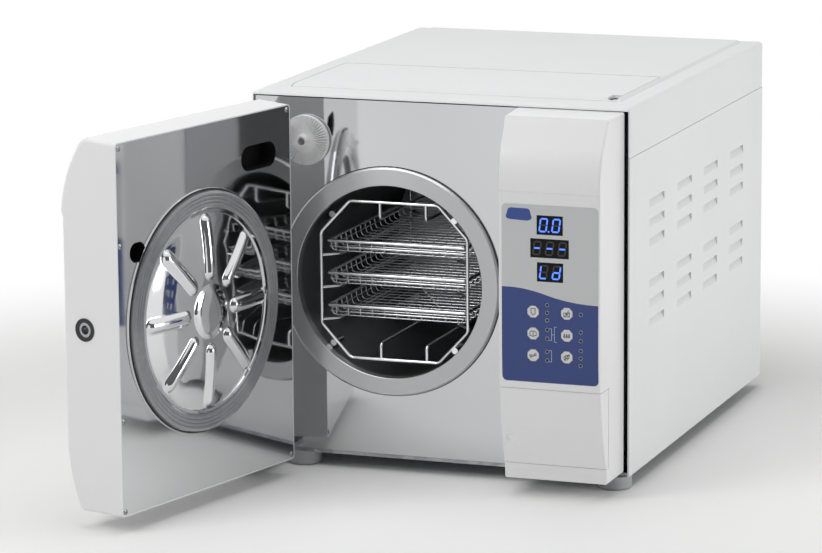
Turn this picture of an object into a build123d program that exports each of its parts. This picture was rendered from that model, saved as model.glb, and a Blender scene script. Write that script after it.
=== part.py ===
from build123d import *
import os
from math import cos, radians, sin, sqrt

os.makedirs("parts", exist_ok=True)

# A bench-top steam autoclave, with its front door open.
# Millimetres, +Z up, the front faces -Y. The origin is on the bench, under the middle of the
# whole object as it stands with its door open.

# Driving dimensions of the housing
HOUSING_WIDTH = 495.3
HOUSING_DEPTH = 613.7
HOUSING_TOP = 477.5
FOOT_HEIGHT = 17.0
CAP_SEAM = 415.6
SHEET = 2.0
THIN = 1.5
HALF_WIDTH = HOUSING_WIDTH / 2
INNER_HALF = HALF_WIDTH - SHEET - 0.25
PAN_TOP = FOOT_HEIGHT + SHEET

# Where the housing stands: its middle and its front edge
HOUSING_X = 44.0
FRONT_Y = -110.0

# Driving dimensions of the chamber
CHAMBER_X = -64.5
CHAMBER_Z = 244.0
CHAMBER_RADIUS = 122.5
CHAMBER_WALL = 2.5
CHAMBER_END = 366.0
FLANGE_RADIUS = 145.3
FLANGE_FRONT = 6.0
JACKET_RADIUS = 150.0

# Driving dimensions of the door
DOOR_WIDTH = 351.0
DOOR_BOTTOM = 22.0
DOOR_OPEN = 103.9
DOOR_WALL = 3.0
DOOR_EDGE = 5.0
POST_X = -228.0
POST_Y = -64.5
POST_S = 20.5
POST_T = 50.5
DISC_S = 184.0

# Driving dimensions of the control housing
FASCIA_RIGHT = 240.7
FASCIA_WALL = 3.0
FASCIA_EDGE = 2.5
FASCIA_LEAN = 0.5
COVER_BOTTOM = 42.5
COVER_TOP = 142.5
COVER_PLANE = -60.8

# Planes: x to the right from the housing's middle, y back from its front edge, z up
floor = Plane(origin=(HOUSING_X, FRONT_Y, 0))
front = Plane(origin=(HOUSING_X, FRONT_Y, 0), x_dir=(1, 0, 0), z_dir=(0, -1, 0))
right = Plane(origin=(HOUSING_X, FRONT_Y, 0), x_dir=(0, 1, 0), z_dir=(1, 0, 0))


def spot(x, y, z):
    """A point given from the housing's middle and front edge."""
    return Vector(HOUSING_X + x, FRONT_Y + y, z)


def slab(x0, x1, y0, y1, z0, z1):
    """A plain block between two corners, used to cut or to keep a region."""
    with BuildPart() as block:
        with BuildSketch(floor.offset(z0)):
            with Locations(((x0 + x1) / 2, (y0 + y1) / 2)):
                Rectangle(x1 - x0, y1 - y0)
        extrude(amount=z1 - z0)
    return block.part


def wire(points, radius, bend):
    """Round wire or tube along straight runs with tangent bends."""
    with BuildPart() as run:
        with BuildLine() as path:
            FilletPolyline(*points, radius=bend)
        with BuildSketch(Plane(origin=path.line @ 0, z_dir=path.line % 0)):
            Circle(radius)
        sweep()
    return run.part


# Base pan: a folded steel tray, low at the front so that the polished panel shows, with the
# chamber's saddle welded in it
PAN_RIM = 42.0
PAN_LIP = 21.5
SADDLE_Y = 300.0
SADDLE_HALF = 110.0
with BuildPart() as base_pan:
    with BuildSketch(floor.offset(FOOT_HEIGHT)):
        with Locations((0, HOUSING_DEPTH / 2)):
            Rectangle(2 * INNER_HALF, HOUSING_DEPTH - 2 * SHEET - 0.5)
    extrude(amount=PAN_RIM - FOOT_HEIGHT)
    with BuildSketch(floor.offset(PAN_TOP)):
        with Locations((0, HOUSING_DEPTH / 2)):
            Rectangle(2 * INNER_HALF - 2 * THIN, HOUSING_DEPTH - 4 * SHEET)
    extrude(amount=PAN_RIM, mode=Mode.SUBTRACT)
    with BuildSketch(right.offset(-HALF_WIDTH)):
        with Locations((0, PAN_LIP)):
            Rectangle(12, PAN_RIM, align=(Align.CENTER, Align.MIN))
    extrude(amount=HOUSING_WIDTH, mode=Mode.SUBTRACT)
    with BuildSketch(front.offset(-SADDLE_Y)):
        with Locations((CHAMBER_X, FOOT_HEIGHT + 1)):
            Rectangle(2 * SADDLE_HALF, 124, align=(Align.CENTER, Align.MIN))
        with Locations((CHAMBER_X, CHAMBER_Z)):
            Circle(JACKET_RADIUS, mode=Mode.SUBTRACT)
    extrude(amount=-3)
    add(slab(CHAMBER_X - SADDLE_HALF, CHAMBER_X + SADDLE_HALF, SADDLE_Y, SADDLE_Y + 30,
             FOOT_HEIGHT + 1, PAN_TOP + 3))
base_pan.part.label = "base_pan"
export_step(base_pan.part, "parts/base_pan.step")

# Feet: four turned plastic cups with rounded lower edges
FOOT_RADIUS = 21.0
FOOT_SPOTS = [(226, 12), (-187, 14), (-200, 560), (200, 560)]
with BuildPart() as feet:
    with BuildSketch(floor):
        with Locations(FOOT_SPOTS):
            Circle(FOOT_RADIUS)
    extrude(amount=FOOT_HEIGHT)
    fillet(feet.edges().group_by(Axis.Z)[0], radius=4)
feet.part.label = "feet"
export_step(feet.part, "parts/feet.step")

# Side panels: painted sheet with returns, and louvres pressed inwards whose slits face up
LOUVRE_LENGTH = 65.0
LOUVRE_HEIGHT = 12.0
LOUVRE_DEPTH = 5.0
LOUVRE_TOPS = (351.5, 326.6, 302.0, 249.4, 224.8, 200.0)
LOUVRE_COLUMNS = (84.0, 207.0, 328.0, 453.0)


def side_panel(side):
    """One side panel: side is 1 on the right and -1 on the left."""
    skin = side * HALF_WIDTH
    inner = side * (HALF_WIDTH - SHEET)
    press = side * (HALF_WIDTH - LOUVRE_DEPTH - THIN)
    hollow = side * (HALF_WIDTH - LOUVRE_DEPTH)
    with BuildPart() as panel:
        with BuildSketch(floor.offset(FOOT_HEIGHT)):
            with Locations(((skin + inner) / 2, HOUSING_DEPTH / 2)):
                Rectangle(SHEET, HOUSING_DEPTH)
        extrude(amount=CAP_SEAM - FOOT_HEIGHT)
        for column in LOUVRE_COLUMNS:
            with BuildSketch(front.offset(THIN - column)):
                for top in LOUVRE_TOPS:
                    foot = top - LOUVRE_HEIGHT
                    Polygon((inner, foot), (skin, foot - 1), (skin, top), (press, top), align=None)
            extrude(amount=-LOUVRE_LENGTH - 2 * THIN)
        for column in LOUVRE_COLUMNS:
            with BuildSketch(front.offset(-column)):
                for top in LOUVRE_TOPS:
                    foot = top - LOUVRE_HEIGHT + 1
                    Polygon((skin, foot), (skin, top), (hollow, top), align=None)
            extrude(amount=-LOUVRE_LENGTH, mode=Mode.SUBTRACT)
    return panel


left_side_panel = side_panel(-1)
left_side_panel.part.label = "left_side_panel"
export_step(left_side_panel.part, "parts/left_side_panel.step")
right_side_panel = side_panel(1)
right_side_panel.part.label = "right_side_panel"
export_step(right_side_panel.part, "parts/right_side_panel.step")


# Rear panel: flat sheet with the holes for the fan, the inlet and the drains
FAN_X = 130.0
FAN_Z = 170.0
FAN_HOLE = 50.0
INLET_X = -190.0
INLET_Z = 90.0
DRAIN_X = (-60.0, -20.0)
DRAIN_Z = 70.0
with BuildPart() as rear_panel:
    with BuildSketch(front.offset(-HOUSING_DEPTH)):
        with Locations((0, (PAN_TOP + CAP_SEAM) / 2)):
            Rectangle(2 * INNER_HALF, CAP_SEAM - PAN_TOP)
        with Locations((FAN_X, FAN_Z)):
            Circle(FAN_HOLE, mode=Mode.SUBTRACT)
        with Locations((INLET_X, INLET_Z)):
            Rectangle(27.4, 69.4, mode=Mode.SUBTRACT)
        for drain in DRAIN_X:
            with Locations((drain, DRAIN_Z)):
                Circle(8, mode=Mode.SUBTRACT)
    extrude(amount=SHEET)
rear_panel.part.label = "rear_panel"
export_step(rear_panel.part, "parts/rear_panel.step")

# Top cover: a pressed cap with a raised plateau, cut out at the front for the tank lid
PLATEAU_TOP = 481.0
PLATEAU_HALF = 222.0
PLATEAU_FRONT = 44.0
PLATEAU_BACK = 596.0
LIP_HEIGHT = 4.0
LID_X = (-213.0, 216.0)
LID_Y = (46.0, 240.2)
LID_SEAT = 477.0
LID_GAP = 1.0
TANK_X = (-205.0, 208.0)
NOTCH_WIDTH = 13.0
NOTCH_LENGTH = 28.0
with BuildPart() as cap_plateau:
    with BuildSketch(right.offset(-PLATEAU_HALF)):
        Polygon((PLATEAU_FRONT, 476), (PLATEAU_FRONT, HOUSING_TOP), (PLATEAU_FRONT + 14, PLATEAU_TOP),
                (PLATEAU_BACK - 4, PLATEAU_TOP), (PLATEAU_BACK, HOUSING_TOP), (PLATEAU_BACK, 476), align=None)
    extrude(amount=2 * PLATEAU_HALF)
    with BuildSketch(front):
        Polygon((-PLATEAU_HALF, 476), (-PLATEAU_HALF, HOUSING_TOP), (4 - PLATEAU_HALF, PLATEAU_TOP),
                (PLATEAU_HALF - 4, PLATEAU_TOP), (PLATEAU_HALF, HOUSING_TOP), (PLATEAU_HALF, 476), align=None)
    extrude(amount=-HOUSING_DEPTH, mode=Mode.INTERSECT)
with BuildPart() as top_cover:
    with BuildSketch(floor.offset(CAP_SEAM + 0.6)):
        with Locations((0, HOUSING_DEPTH / 2)):
            Rectangle(HOUSING_WIDTH, HOUSING_DEPTH)
    extrude(amount=HOUSING_TOP - CAP_SEAM - 0.6)
    fillet(top_cover.edges().filter_by(Axis.Z), radius=3)
    fillet(top_cover.edges().group_by(Axis.Z)[-1], radius=5)
    with BuildSketch(floor.offset(CAP_SEAM)):
        with Locations((0, HOUSING_DEPTH / 2)):
            Rectangle(HOUSING_WIDTH - 2 * SHEET, HOUSING_DEPTH - 2 * SHEET)
    extrude(amount=HOUSING_TOP - SHEET - CAP_SEAM, mode=Mode.SUBTRACT)
    with BuildSketch(front.offset(5)):
        with Locations((0, HOUSING_TOP - LIP_HEIGHT)):
            Rectangle(2 * HALF_WIDTH - 2 * SHEET, 80, align=(Align.CENTER, Align.MAX))
    extrude(amount=-12, mode=Mode.SUBTRACT)
    add(cap_plateau.part)
    add(slab(-214, 214, 246, 590, 470, PLATEAU_TOP - SHEET), mode=Mode.SUBTRACT)
    add(slab(*LID_X, *LID_Y, LID_SEAT, 490), mode=Mode.SUBTRACT)
    add(slab(*TANK_X, 64, LID_Y[1], 470, 490), mode=Mode.SUBTRACT)
    add(slab(LID_X[1] - NOTCH_WIDTH, LID_X[1], 62, 78, 470, 490), mode=Mode.SUBTRACT)
top_cover.part.label = "top_cover"
export_step(top_cover.part, "parts/top_cover.step")

# Tank lid: the front part of the plateau, hinged at its rounded back edge, with a finger notch
LID_PIVOT_Y = 236.9
LID_PIVOT_Z = 479.0
LID_PIN = 1.0
LID_EDGE = 1.9
with BuildPart() as tank_lid:
    add(cap_plateau.part)
    add(slab(LID_X[0] + LID_GAP, LID_X[1] - LID_GAP, LID_Y[0] + LID_GAP, LID_PIVOT_Y,
             LID_SEAT + 0.1, PLATEAU_TOP + 1), mode=Mode.INTERSECT)
    with BuildSketch(right.offset(LID_X[0] + LID_GAP)):
        with Locations((LID_PIVOT_Y, LID_PIVOT_Z)):
            Circle(LID_EDGE)
    extrude(amount=LID_X[1] - LID_X[0] - 2 * LID_GAP)
    with BuildSketch(floor.offset(LID_SEAT)):
        with Locations((LID_X[1] - LID_GAP, LID_Y[0] + 4 + NOTCH_LENGTH / 2)):
            RectangleRounded(2 * NOTCH_WIDTH, NOTCH_LENGTH, 6)
    extrude(amount=10, mode=Mode.SUBTRACT)
    with BuildSketch(right.offset(LID_X[0])):
        with Locations((LID_PIVOT_Y, LID_PIVOT_Z)):
            Circle(LID_PIN + 0.06)
    extrude(amount=10, mode=Mode.SUBTRACT)
    with BuildSketch(right.offset(LID_X[1] - 10)):
        with Locations((LID_PIVOT_Y, LID_PIVOT_Z)):
            Circle(LID_PIN + 0.06)
    extrude(amount=10, mode=Mode.SUBTRACT)
tank_lid.part.label = "tank_lid"
export_step(tank_lid.part, "parts/tank_lid.step")

# Front panel: polished stainless sheet with returns, holed for chamber, filter and bay
PANEL_FRONT = 1.0
PANEL_X = (-243.0, 240.0)
PANEL_Z = (22.0, 472.0)
PANEL_RETURN = 12.0
FILTER_X = -175.0
FILTER_Z = 419.0
with BuildPart() as front_panel:
    with BuildSketch(front.offset(-PANEL_FRONT)):
        Polygon((PANEL_X[0], PANEL_Z[0]), (PANEL_X[1], PANEL_Z[0]), (PANEL_X[1], PANEL_Z[1]),
                (PANEL_X[0], PANEL_Z[1]), align=None)
    extrude(amount=-PANEL_RETURN)
    add(slab(PANEL_X[0] + THIN, PANEL_X[1] - THIN, PANEL_FRONT + THIN, 30,
             PANEL_Z[0] - 5, PANEL_Z[1] - THIN), mode=Mode.SUBTRACT)
    with BuildSketch(front.offset(5)):
        with Locations((CHAMBER_X, CHAMBER_Z)):
            Circle(FLANGE_RADIUS + 1.2)
        with Locations((FILTER_X, FILTER_Z)):
            Circle(24.6)
        with Locations((172, 92)):
            Rectangle(116, 92)
        with Locations((172, 300)):
            Rectangle(60, 90)
    extrude(amount=-30, mode=Mode.SUBTRACT)
front_panel.part.label = "front_panel"
export_step(front_panel.part, "parts/front_panel.step")

# Chamber: drawn stainless vessel with a dished back, made by turning its section
chamber_section = Plane(origin=spot(CHAMBER_X, 0, CHAMBER_Z), x_dir=(1, 0, 0), z_dir=(0, 0, 1))
chamber_axis = Axis(spot(CHAMBER_X, 0, CHAMBER_Z), (0, 1, 0))
FLANGE_BACK = 8.0
OUTER_RADIUS = CHAMBER_RADIUS + CHAMBER_WALL
DISH = 32.0


def dish(radius, reach, depth):
    """How far back a round dish of this reach and depth is at a radius."""
    ball = (reach ** 2 + depth ** 2) / (2 * depth)
    return CHAMBER_END + depth - ball + sqrt(ball ** 2 - radius ** 2)


with BuildPart() as chamber:
    with BuildSketch(chamber_section):
        with BuildLine():
            Line((CHAMBER_RADIUS, FLANGE_BACK), (CHAMBER_RADIUS, CHAMBER_END))
            ThreePointArc((CHAMBER_RADIUS, CHAMBER_END), (70, dish(70, CHAMBER_RADIUS, DISH)),
                          (0, CHAMBER_END + DISH))
            Line((0, CHAMBER_END + DISH), (0, CHAMBER_END + DISH + CHAMBER_WALL))
            ThreePointArc((0, CHAMBER_END + DISH + CHAMBER_WALL),
                          (70, dish(70, OUTER_RADIUS, DISH + CHAMBER_WALL)), (OUTER_RADIUS, CHAMBER_END))
            Line((OUTER_RADIUS, CHAMBER_END), (OUTER_RADIUS, FLANGE_BACK))
            Line((OUTER_RADIUS, FLANGE_BACK), (CHAMBER_RADIUS, FLANGE_BACK))
        make_face()
    revolve(axis=chamber_axis)
chamber.part.label = "chamber"
export_step(chamber.part, "parts/chamber.step")

# Chamber flange: machined sealing ring, bevelled outside, stepped behind the front panel
with BuildPart() as chamber_flange:
    with BuildSketch(chamber_section):
        Polygon((CHAMBER_RADIUS + 0.8, -FLANGE_FRONT), (139.5, -FLANGE_FRONT), (FLANGE_RADIUS, -3),
                (FLANGE_RADIUS, 2.6), (152, 2.6), (152, FLANGE_BACK), (CHAMBER_RADIUS, FLANGE_BACK),
                (CHAMBER_RADIUS, 0.8 - FLANGE_FRONT), align=None)
    revolve(axis=chamber_axis)
chamber_flange.part.label = "chamber_flange"
export_step(chamber_flange.part, "parts/chamber_flange.step")

# Heater band: a clamped ring heater with a gap and two ears underneath
BAND_FRONT = 120.0
BAND_BACK = 240.0
BAND_RADIUS = 128.6
with BuildPart() as heater_band:
    with BuildSketch(front.offset(-BAND_FRONT)):
        with Locations((CHAMBER_X, CHAMBER_Z)):
            Circle(BAND_RADIUS)
            Circle(OUTER_RADIUS, mode=Mode.SUBTRACT)
        with Locations((CHAMBER_X, CHAMBER_Z - OUTER_RADIUS - 6)):
            Rectangle(14, 11)
        with Locations((CHAMBER_X, CHAMBER_Z - OUTER_RADIUS - 4)):
            Rectangle(8, 20, mode=Mode.SUBTRACT)
    extrude(amount=BAND_FRONT - BAND_BACK)
heater_band.part.label = "heater_band"
export_step(heater_band.part, "parts/heater_band.step")

# Insulation: a felt jacket round the vessel and its dished back
with BuildPart() as insulation:
    with BuildSketch(chamber_section):
        Polygon((138, 12), (JACKET_RADIUS, 12), (JACKET_RADIUS, 388), (100, 411), (0, 418),
                (0, 403), (95, 398), (138, 376), align=None)
    revolve(axis=chamber_axis)
insulation.part.label = "insulation"
export_step(insulation.part, "parts/insulation.step")


# Control housing: one moulded form, bowed in side view and tapered on its left side
# The left side leans so that the door's free end swings past it
BROW = (-97.1, 386.3)
FACE = -96.5
with BuildSketch() as fascia_outline:
    with BuildLine():
        Line((0, 22.5), (-66.2, 22.5))
        Line((-66.2, 22.5), (-67.9, 33.7))
        Line((-67.9, 33.7), (-85.4, 91))
        ThreePointArc((-85.4, 91), (-93.1, 138), (FACE, 200))
        Line((FACE, 200), (FACE, BROW[1] - 1))
        Line((FACE, BROW[1] - 1), BROW)
        ThreePointArc(BROW, (-93.8, 412.5), (-86.5, 436.5))
        Line((-86.5, 436.5), (-62.6, 472.7))
        Line((-62.6, 472.7), (0, 472.7))
        Line((0, 472.7), (0, 22.5))
    make_face()
with BuildSketch() as fascia_inside:
    add(fascia_outline.sketch)
    offset(amount=-FASCIA_WALL, mode=Mode.REPLACE)
with BuildSketch() as fascia_plan:
    Polygon((103.3, 0), (111.3, -100), (FASCIA_RIGHT - FASCIA_LEAN, -100), (FASCIA_RIGHT, 0), align=None)
with BuildSketch() as core_plan:
    Polygon((106.3, 5), (114.3, -100), (FASCIA_RIGHT - FASCIA_WALL, -100),
            (FASCIA_RIGHT - FASCIA_WALL, 5), align=None)
with BuildPart() as fascia_form:
    with BuildSketch(right.offset(95)):
        add(fascia_outline.sketch)
    extrude(amount=150)
    with BuildSketch(floor):
        add(fascia_plan.sketch)
    extrude(amount=HOUSING_TOP, mode=Mode.INTERSECT)
    for side in (-1, 0):
        side_face = fascia_form.faces().sort_by(Axis.X)[side]
        fillet([edge for edge in side_face.edges() if edge.center().Y < FRONT_Y - 5], radius=FASCIA_EDGE)
with BuildPart() as fascia_core:
    with BuildSketch(right.offset(95)):
        add(fascia_inside.sketch)
        Polygon((-10, 22.5 + FASCIA_WALL), (5, 22.5 + FASCIA_WALL), (5, 469.7), (-10, 469.7), align=None)
    extrude(amount=150)
    with BuildSketch(floor):
        add(core_plan.sketch)
    extrude(amount=HOUSING_TOP, mode=Mode.INTERSECT)


def skin_between(depth_out, depth_in):
    """A skin that follows the control housing's front, between two depths from its face."""
    with BuildSketch() as outer_line:
        add(fascia_outline.sketch)
        offset(amount=depth_out, mode=Mode.REPLACE)
    with BuildSketch() as inner_line:
        add(fascia_outline.sketch)
        offset(amount=-depth_in, mode=Mode.REPLACE)
    with BuildPart() as skin:
        with BuildSketch(right.offset(95)):
            add(outer_line.sketch)
            add(inner_line.sketch, mode=Mode.SUBTRACT)
            with Locations((0, 240)):
                Rectangle(80, 500, mode=Mode.SUBTRACT)
        extrude(amount=150)
    return skin.part


# Places on the control panel: three windows, two columns of keys and two of small lamps
OVERLAY_X = (115.5, 238.0)
OVERLAY_Z = (151.5, 371.0)
WINDOWS = [(160.0, 193.3, 334.6, 358.4), (152.0, 200.9, 306.3, 329.7), (160.4, 193.7, 276.9, 300.7)]
KEY_X = (155.6, 198.4)
KEY_Z = (239.3, 212.3, 185.35)
KEY_WIDTH = 14.5
KEY_FRONT = 97.4
KEY_TRAVEL = 0.6
LAMP_LEFT = [(173.4, z) for z in (248.5, 239.1, 229.7, 218.0, 207.0, 190.8, 180.0)]
LAMP_RIGHT = [(216.0, z) for z in (239.2, 217.4, 206.6, 194.5, 185.2, 176.1)]
LAMP_RADIUS = 1.3
OCTAGON = KEY_WIDTH / 2 / cos(radians(22.5))
KEY_SPOTS = [(x, z) for z in KEY_Z for x in KEY_X]

with BuildPart() as overlay_field:
    with BuildSketch(front.offset(70)):
        with Locations((sum(OVERLAY_X) / 2, sum(OVERLAY_Z) / 2)):
            RectangleRounded(OVERLAY_X[1] - OVERLAY_X[0], OVERLAY_Z[1] - OVERLAY_Z[0], 6)
    extrude(amount=40)
with BuildPart() as panel_holes:
    with BuildSketch(front.offset(70)):
        with Locations(KEY_SPOTS):
            RegularPolygon(OCTAGON + 0.35, 8, rotation=22.5)
        with Locations(LAMP_LEFT + LAMP_RIGHT):
            Circle(LAMP_RADIUS)
    extrude(amount=40)
with BuildPart() as window_field:
    with BuildSketch(front.offset(70)):
        for left_x, right_x, low_z, high_z in WINDOWS:
            with Locations(((left_x + right_x) / 2, (low_z + high_z) / 2)):
                Rectangle(right_x - left_x, high_z - low_z)
    extrude(amount=40)

# Control housing shell: hollow, with two ledges that close it round the service bay
BOLT_Z = 244.5
BUSH_RADIUS = 7.0
PIN_X = 238.0
PIN_Y = -66.0
SERVICE_PIN = 1.25
with BuildPart() as ledges:
    add(fascia_form.part)
    add(slab(100, 242, -99, 0, COVER_BOTTOM - FASCIA_WALL, COVER_BOTTOM)
        + slab(100, 242, -99, 0, COVER_TOP, COVER_TOP + FASCIA_WALL), mode=Mode.INTERSECT)
with BuildPart() as fascia_housing:
    add(fascia_form.part)
    add(fascia_core.part, mode=Mode.SUBTRACT)
    add(ledges.part)
    add(slab(95, 245, -110, COVER_PLANE, COVER_BOTTOM, COVER_TOP), mode=Mode.SUBTRACT)
    add(skin_between(1, 0.5) & overlay_field.part, mode=Mode.SUBTRACT)
    add(panel_holes.part, mode=Mode.SUBTRACT)
    add(window_field.part, mode=Mode.SUBTRACT)
    with BuildSketch(right.offset(95)):
        with Locations((POST_Y, BOLT_Z)):
            Circle(BUSH_RADIUS)
    extrude(amount=25, mode=Mode.SUBTRACT)
    with BuildSketch(floor.offset(30)):
        with Locations((PIN_X, PIN_Y)):
            Circle(SERVICE_PIN)
    extrude(amount=130, mode=Mode.SUBTRACT)
fascia_housing.part.label = "fascia_housing"
export_step(fascia_housing.part, "parts/fascia_housing.step")

# Service bay: a moulded tray set in the control housing, open to the front, holding the drains
BAY_X = (116.0, 228.0)
BAY_Z = (48.0, 136.0)
BAY_DEPTH = 50.0
BAY_WALL = 2.0
with BuildPart() as service_bay:
    add(fascia_core.part)
    add(slab(95, 245, COVER_PLANE, COVER_PLANE + BAY_WALL, COVER_BOTTOM, COVER_TOP), mode=Mode.INTERSECT)
    add(slab(BAY_X[0] - BAY_WALL, BAY_X[1] + BAY_WALL, COVER_PLANE + BAY_WALL,
             COVER_PLANE + BAY_DEPTH + BAY_WALL, BAY_Z[0] - BAY_WALL, BAY_Z[1] + BAY_WALL))
    add(slab(*BAY_X, COVER_PLANE - 1, COVER_PLANE + BAY_DEPTH, *BAY_Z), mode=Mode.SUBTRACT)
service_bay.part.label = "service_bay"
export_step(service_bay.part, "parts/service_bay.step")

# Service cover: the lower part of the bowed form, wrapped round both sides, with a finger dimple
COVER_BACK = -62.2
KNUCKLE = 2.4
DIMPLE_X = 121.5
DIMPLE_Z = 73.0
with BuildPart() as service_cover:
    add(fascia_form.part)
    add(slab(95, 245, -110, COVER_BACK, COVER_BOTTOM + 0.5, COVER_TOP - 0.5), mode=Mode.INTERSECT)
    add(fascia_core.part & slab(95, 245, -110, 0, COVER_BOTTOM + 3, COVER_TOP - 3), mode=Mode.SUBTRACT)
    with BuildSketch(floor.offset(COVER_BOTTOM + 0.5)):
        with Locations((PIN_X, PIN_Y)):
            Circle(KNUCKLE)
    extrude(amount=COVER_TOP - COVER_BOTTOM - 1)
    with BuildSketch(floor.offset(COVER_BOTTOM)):
        with Locations((PIN_X, PIN_Y)):
            Circle(SERVICE_PIN + 0.06)
    extrude(amount=COVER_TOP - COVER_BOTTOM, mode=Mode.SUBTRACT)
    with Locations(Location(spot(DIMPLE_X, -91.5, DIMPLE_Z))):
        Sphere(13, mode=Mode.SUBTRACT)
service_cover.part.label = "service_cover"
export_step(service_cover.part, "parts/service_cover.step")

# Hinge pins: two short ones on the cap's side walls for the tank lid, and one long one through
# the service cover's edge, held in both ledges
with BuildPart() as hinge_pins:
    for start in (LID_X[0], LID_X[1] - 9):
        with BuildSketch(right.offset(start)):
            with Locations((LID_PIVOT_Y, LID_PIVOT_Z)):
                Circle(LID_PIN)
        extrude(amount=9)
    with BuildSketch(floor.offset(COVER_BOTTOM - FASCIA_WALL)):
        with Locations((PIN_X, PIN_Y)):
            Circle(SERVICE_PIN)
    extrude(amount=COVER_TOP - COVER_BOTTOM + 2 * FASCIA_WALL)
hinge_pins.part.label = "hinge_pins"
export_step(hinge_pins.part, "parts/hinge_pins.step")

# Drain couplings and taps: quarter-turn valves under two hose couplings on the bay's back wall
TAP_X = (145.0, 199.0)
TAP_Z = 68.0
COUPLING_Z = 106.0
BAY_BACK = COVER_PLANE + BAY_DEPTH
with BuildPart() as drain_couplings:
    for tap in TAP_X:
        with BuildSketch(front.offset(-BAY_BACK)):
            with Locations((tap, COUPLING_Z)):
                Circle(9)
            with Locations((tap, TAP_Z)):
                Circle(10)
        extrude(amount=5)
        with BuildSketch(front.offset(5 - BAY_BACK)):
            with Locations((tap, COUPLING_Z)):
                Circle(6.5)
        extrude(amount=14)
        with BuildSketch(front.offset(19 - BAY_BACK)):
            with Locations((tap, COUPLING_Z)):
                Circle(7.5)
        extrude(amount=4, taper=15)
        with BuildSketch(front.offset(-BAY_BACK)):
            with Locations((tap, COUPLING_Z)):
                Circle(4)
        extrude(amount=30, mode=Mode.SUBTRACT)
        with BuildSketch(front.offset(-BAY_BACK)):
            with Locations((tap, TAP_Z)):
                Circle(4.06)
        extrude(amount=30, mode=Mode.SUBTRACT)
drain_couplings.part.label = "drain_couplings"
export_step(drain_couplings.part, "parts/drain_couplings.step")


def drain_tap(tap_x):
    """A quarter-turn tap: a spindle in the valve and a lever handle across it."""
    with BuildPart() as tap:
        with BuildSketch(front.offset(0.5 - BAY_BACK)):
            with Locations((tap_x, TAP_Z)):
                Circle(4)
        extrude(amount=12)
        with BuildSketch(front.offset(6 - BAY_BACK)):
            with Locations((tap_x, TAP_Z)):
                SlotOverall(30, 10)
        extrude(amount=6)
        with BuildSketch(front.offset(12 - BAY_BACK)):
            with Locations((tap_x, TAP_Z)):
                Circle(3.4)
        extrude(amount=2)
    return tap


drain_tap_left = drain_tap(TAP_X[0])
drain_tap_left.part.label = "drain_tap_left"
export_step(drain_tap_left.part, "parts/drain_tap_left.step")
drain_tap_right = drain_tap(TAP_X[1])
drain_tap_right.part.label = "drain_tap_right"
export_step(drain_tap_right.part, "parts/drain_tap_right.step")

# Control overlay: a printed film set in the front, open round the keys, lamps and windows
with BuildPart() as control_overlay:
    add(skin_between(0.3, 0.45))
    add(overlay_field.part, mode=Mode.INTERSECT)
    add(panel_holes.part, mode=Mode.SUBTRACT)
    add(window_field.part, mode=Mode.SUBTRACT)
control_overlay.part.label = "control_overlay"
export_step(control_overlay.part, "parts/control_overlay.step")

# Display windows: three clear panes in front of the digits
with BuildPart() as display_windows:
    add(skin_between(0.2, 1.6))
    add(window_field.part, mode=Mode.INTERSECT)
display_windows.part.label = "display_windows"
export_step(display_windows.part, "parts/display_windows.step")

# Keys: eight-sided caps kept in by a wider collar behind the wall, each on a short stem
KEY_COLLAR = 92.8
KEY_COLLAR_BACK = 91.3
KEY_STEM_BACK = 90.0
for number, (key_x, key_z) in enumerate(KEY_SPOTS, start=1):
    with BuildPart() as key:
        with BuildSketch(front.offset(KEY_COLLAR_BACK)):
            with Locations((key_x, key_z)):
                RegularPolygon(OCTAGON, 8, rotation=22.5)
        extrude(amount=KEY_FRONT - KEY_COLLAR_BACK)
        chamfer(key.edges().group_by(Axis.Y)[0], length=0.4)
        with BuildSketch(front.offset(KEY_COLLAR_BACK)):
            with Locations((key_x, key_z)):
                RegularPolygon(OCTAGON + 1.4, 8, rotation=22.5)
        extrude(amount=KEY_COLLAR - KEY_COLLAR_BACK)
        with BuildSketch(front.offset(KEY_STEM_BACK)):
            with Locations((key_x, key_z)):
                Circle(3)
        extrude(amount=KEY_COLLAR_BACK - KEY_STEM_BACK)
    key.part.label = f"key_{number}"
    export_step(key.part, f"parts/key_{number}.step")

# Status lamps: small light pipes from the film to the board
BOARD_FRONT = 84.0
LAMP_FRONT = 96.9
with BuildPart() as status_leds:
    with BuildSketch(front.offset(BOARD_FRONT)):
        with Locations(LAMP_LEFT + LAMP_RIGHT):
            Circle(LAMP_RADIUS)
    extrude(amount=LAMP_FRONT - BOARD_FRONT)
status_leds.part.label = "status_leds"
export_step(status_leds.part, "parts/status_leds.step")

# Switch board: the board behind the panel, on four pillars, with a switch under each key
with BuildPart() as switch_board:
    with BuildSketch(front.offset(BOARD_FRONT - 1.6)):
        with Locations((176, 264)):
            RectangleRounded(112, 216, 4)
    extrude(amount=1.6)
    with BuildSketch(front.offset(BOARD_FRONT)):
        with Locations(KEY_SPOTS):
            Circle(2)
    extrude(amount=KEY_STEM_BACK - BOARD_FRONT - KEY_TRAVEL - 0.1)
    with BuildSketch(front.offset(BOARD_FRONT)):
        with Locations((126, 364), (226, 364), (126, 262), (226, 262)):
            Circle(3)
    extrude(amount=-FACE - FASCIA_WALL - BOARD_FRONT)
    with BuildSketch(front.offset(BOARD_FRONT)):
        for left_x, right_x, low_z, high_z in WINDOWS:
            with Locations(((left_x + right_x) / 2, (low_z + high_z) / 2)):
                Rectangle(right_x - left_x - 2, high_z - low_z - 2)
    extrude(amount=10)
switch_board.part.label = "switch_board"
export_step(switch_board.part, "parts/switch_board.step")

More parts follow.
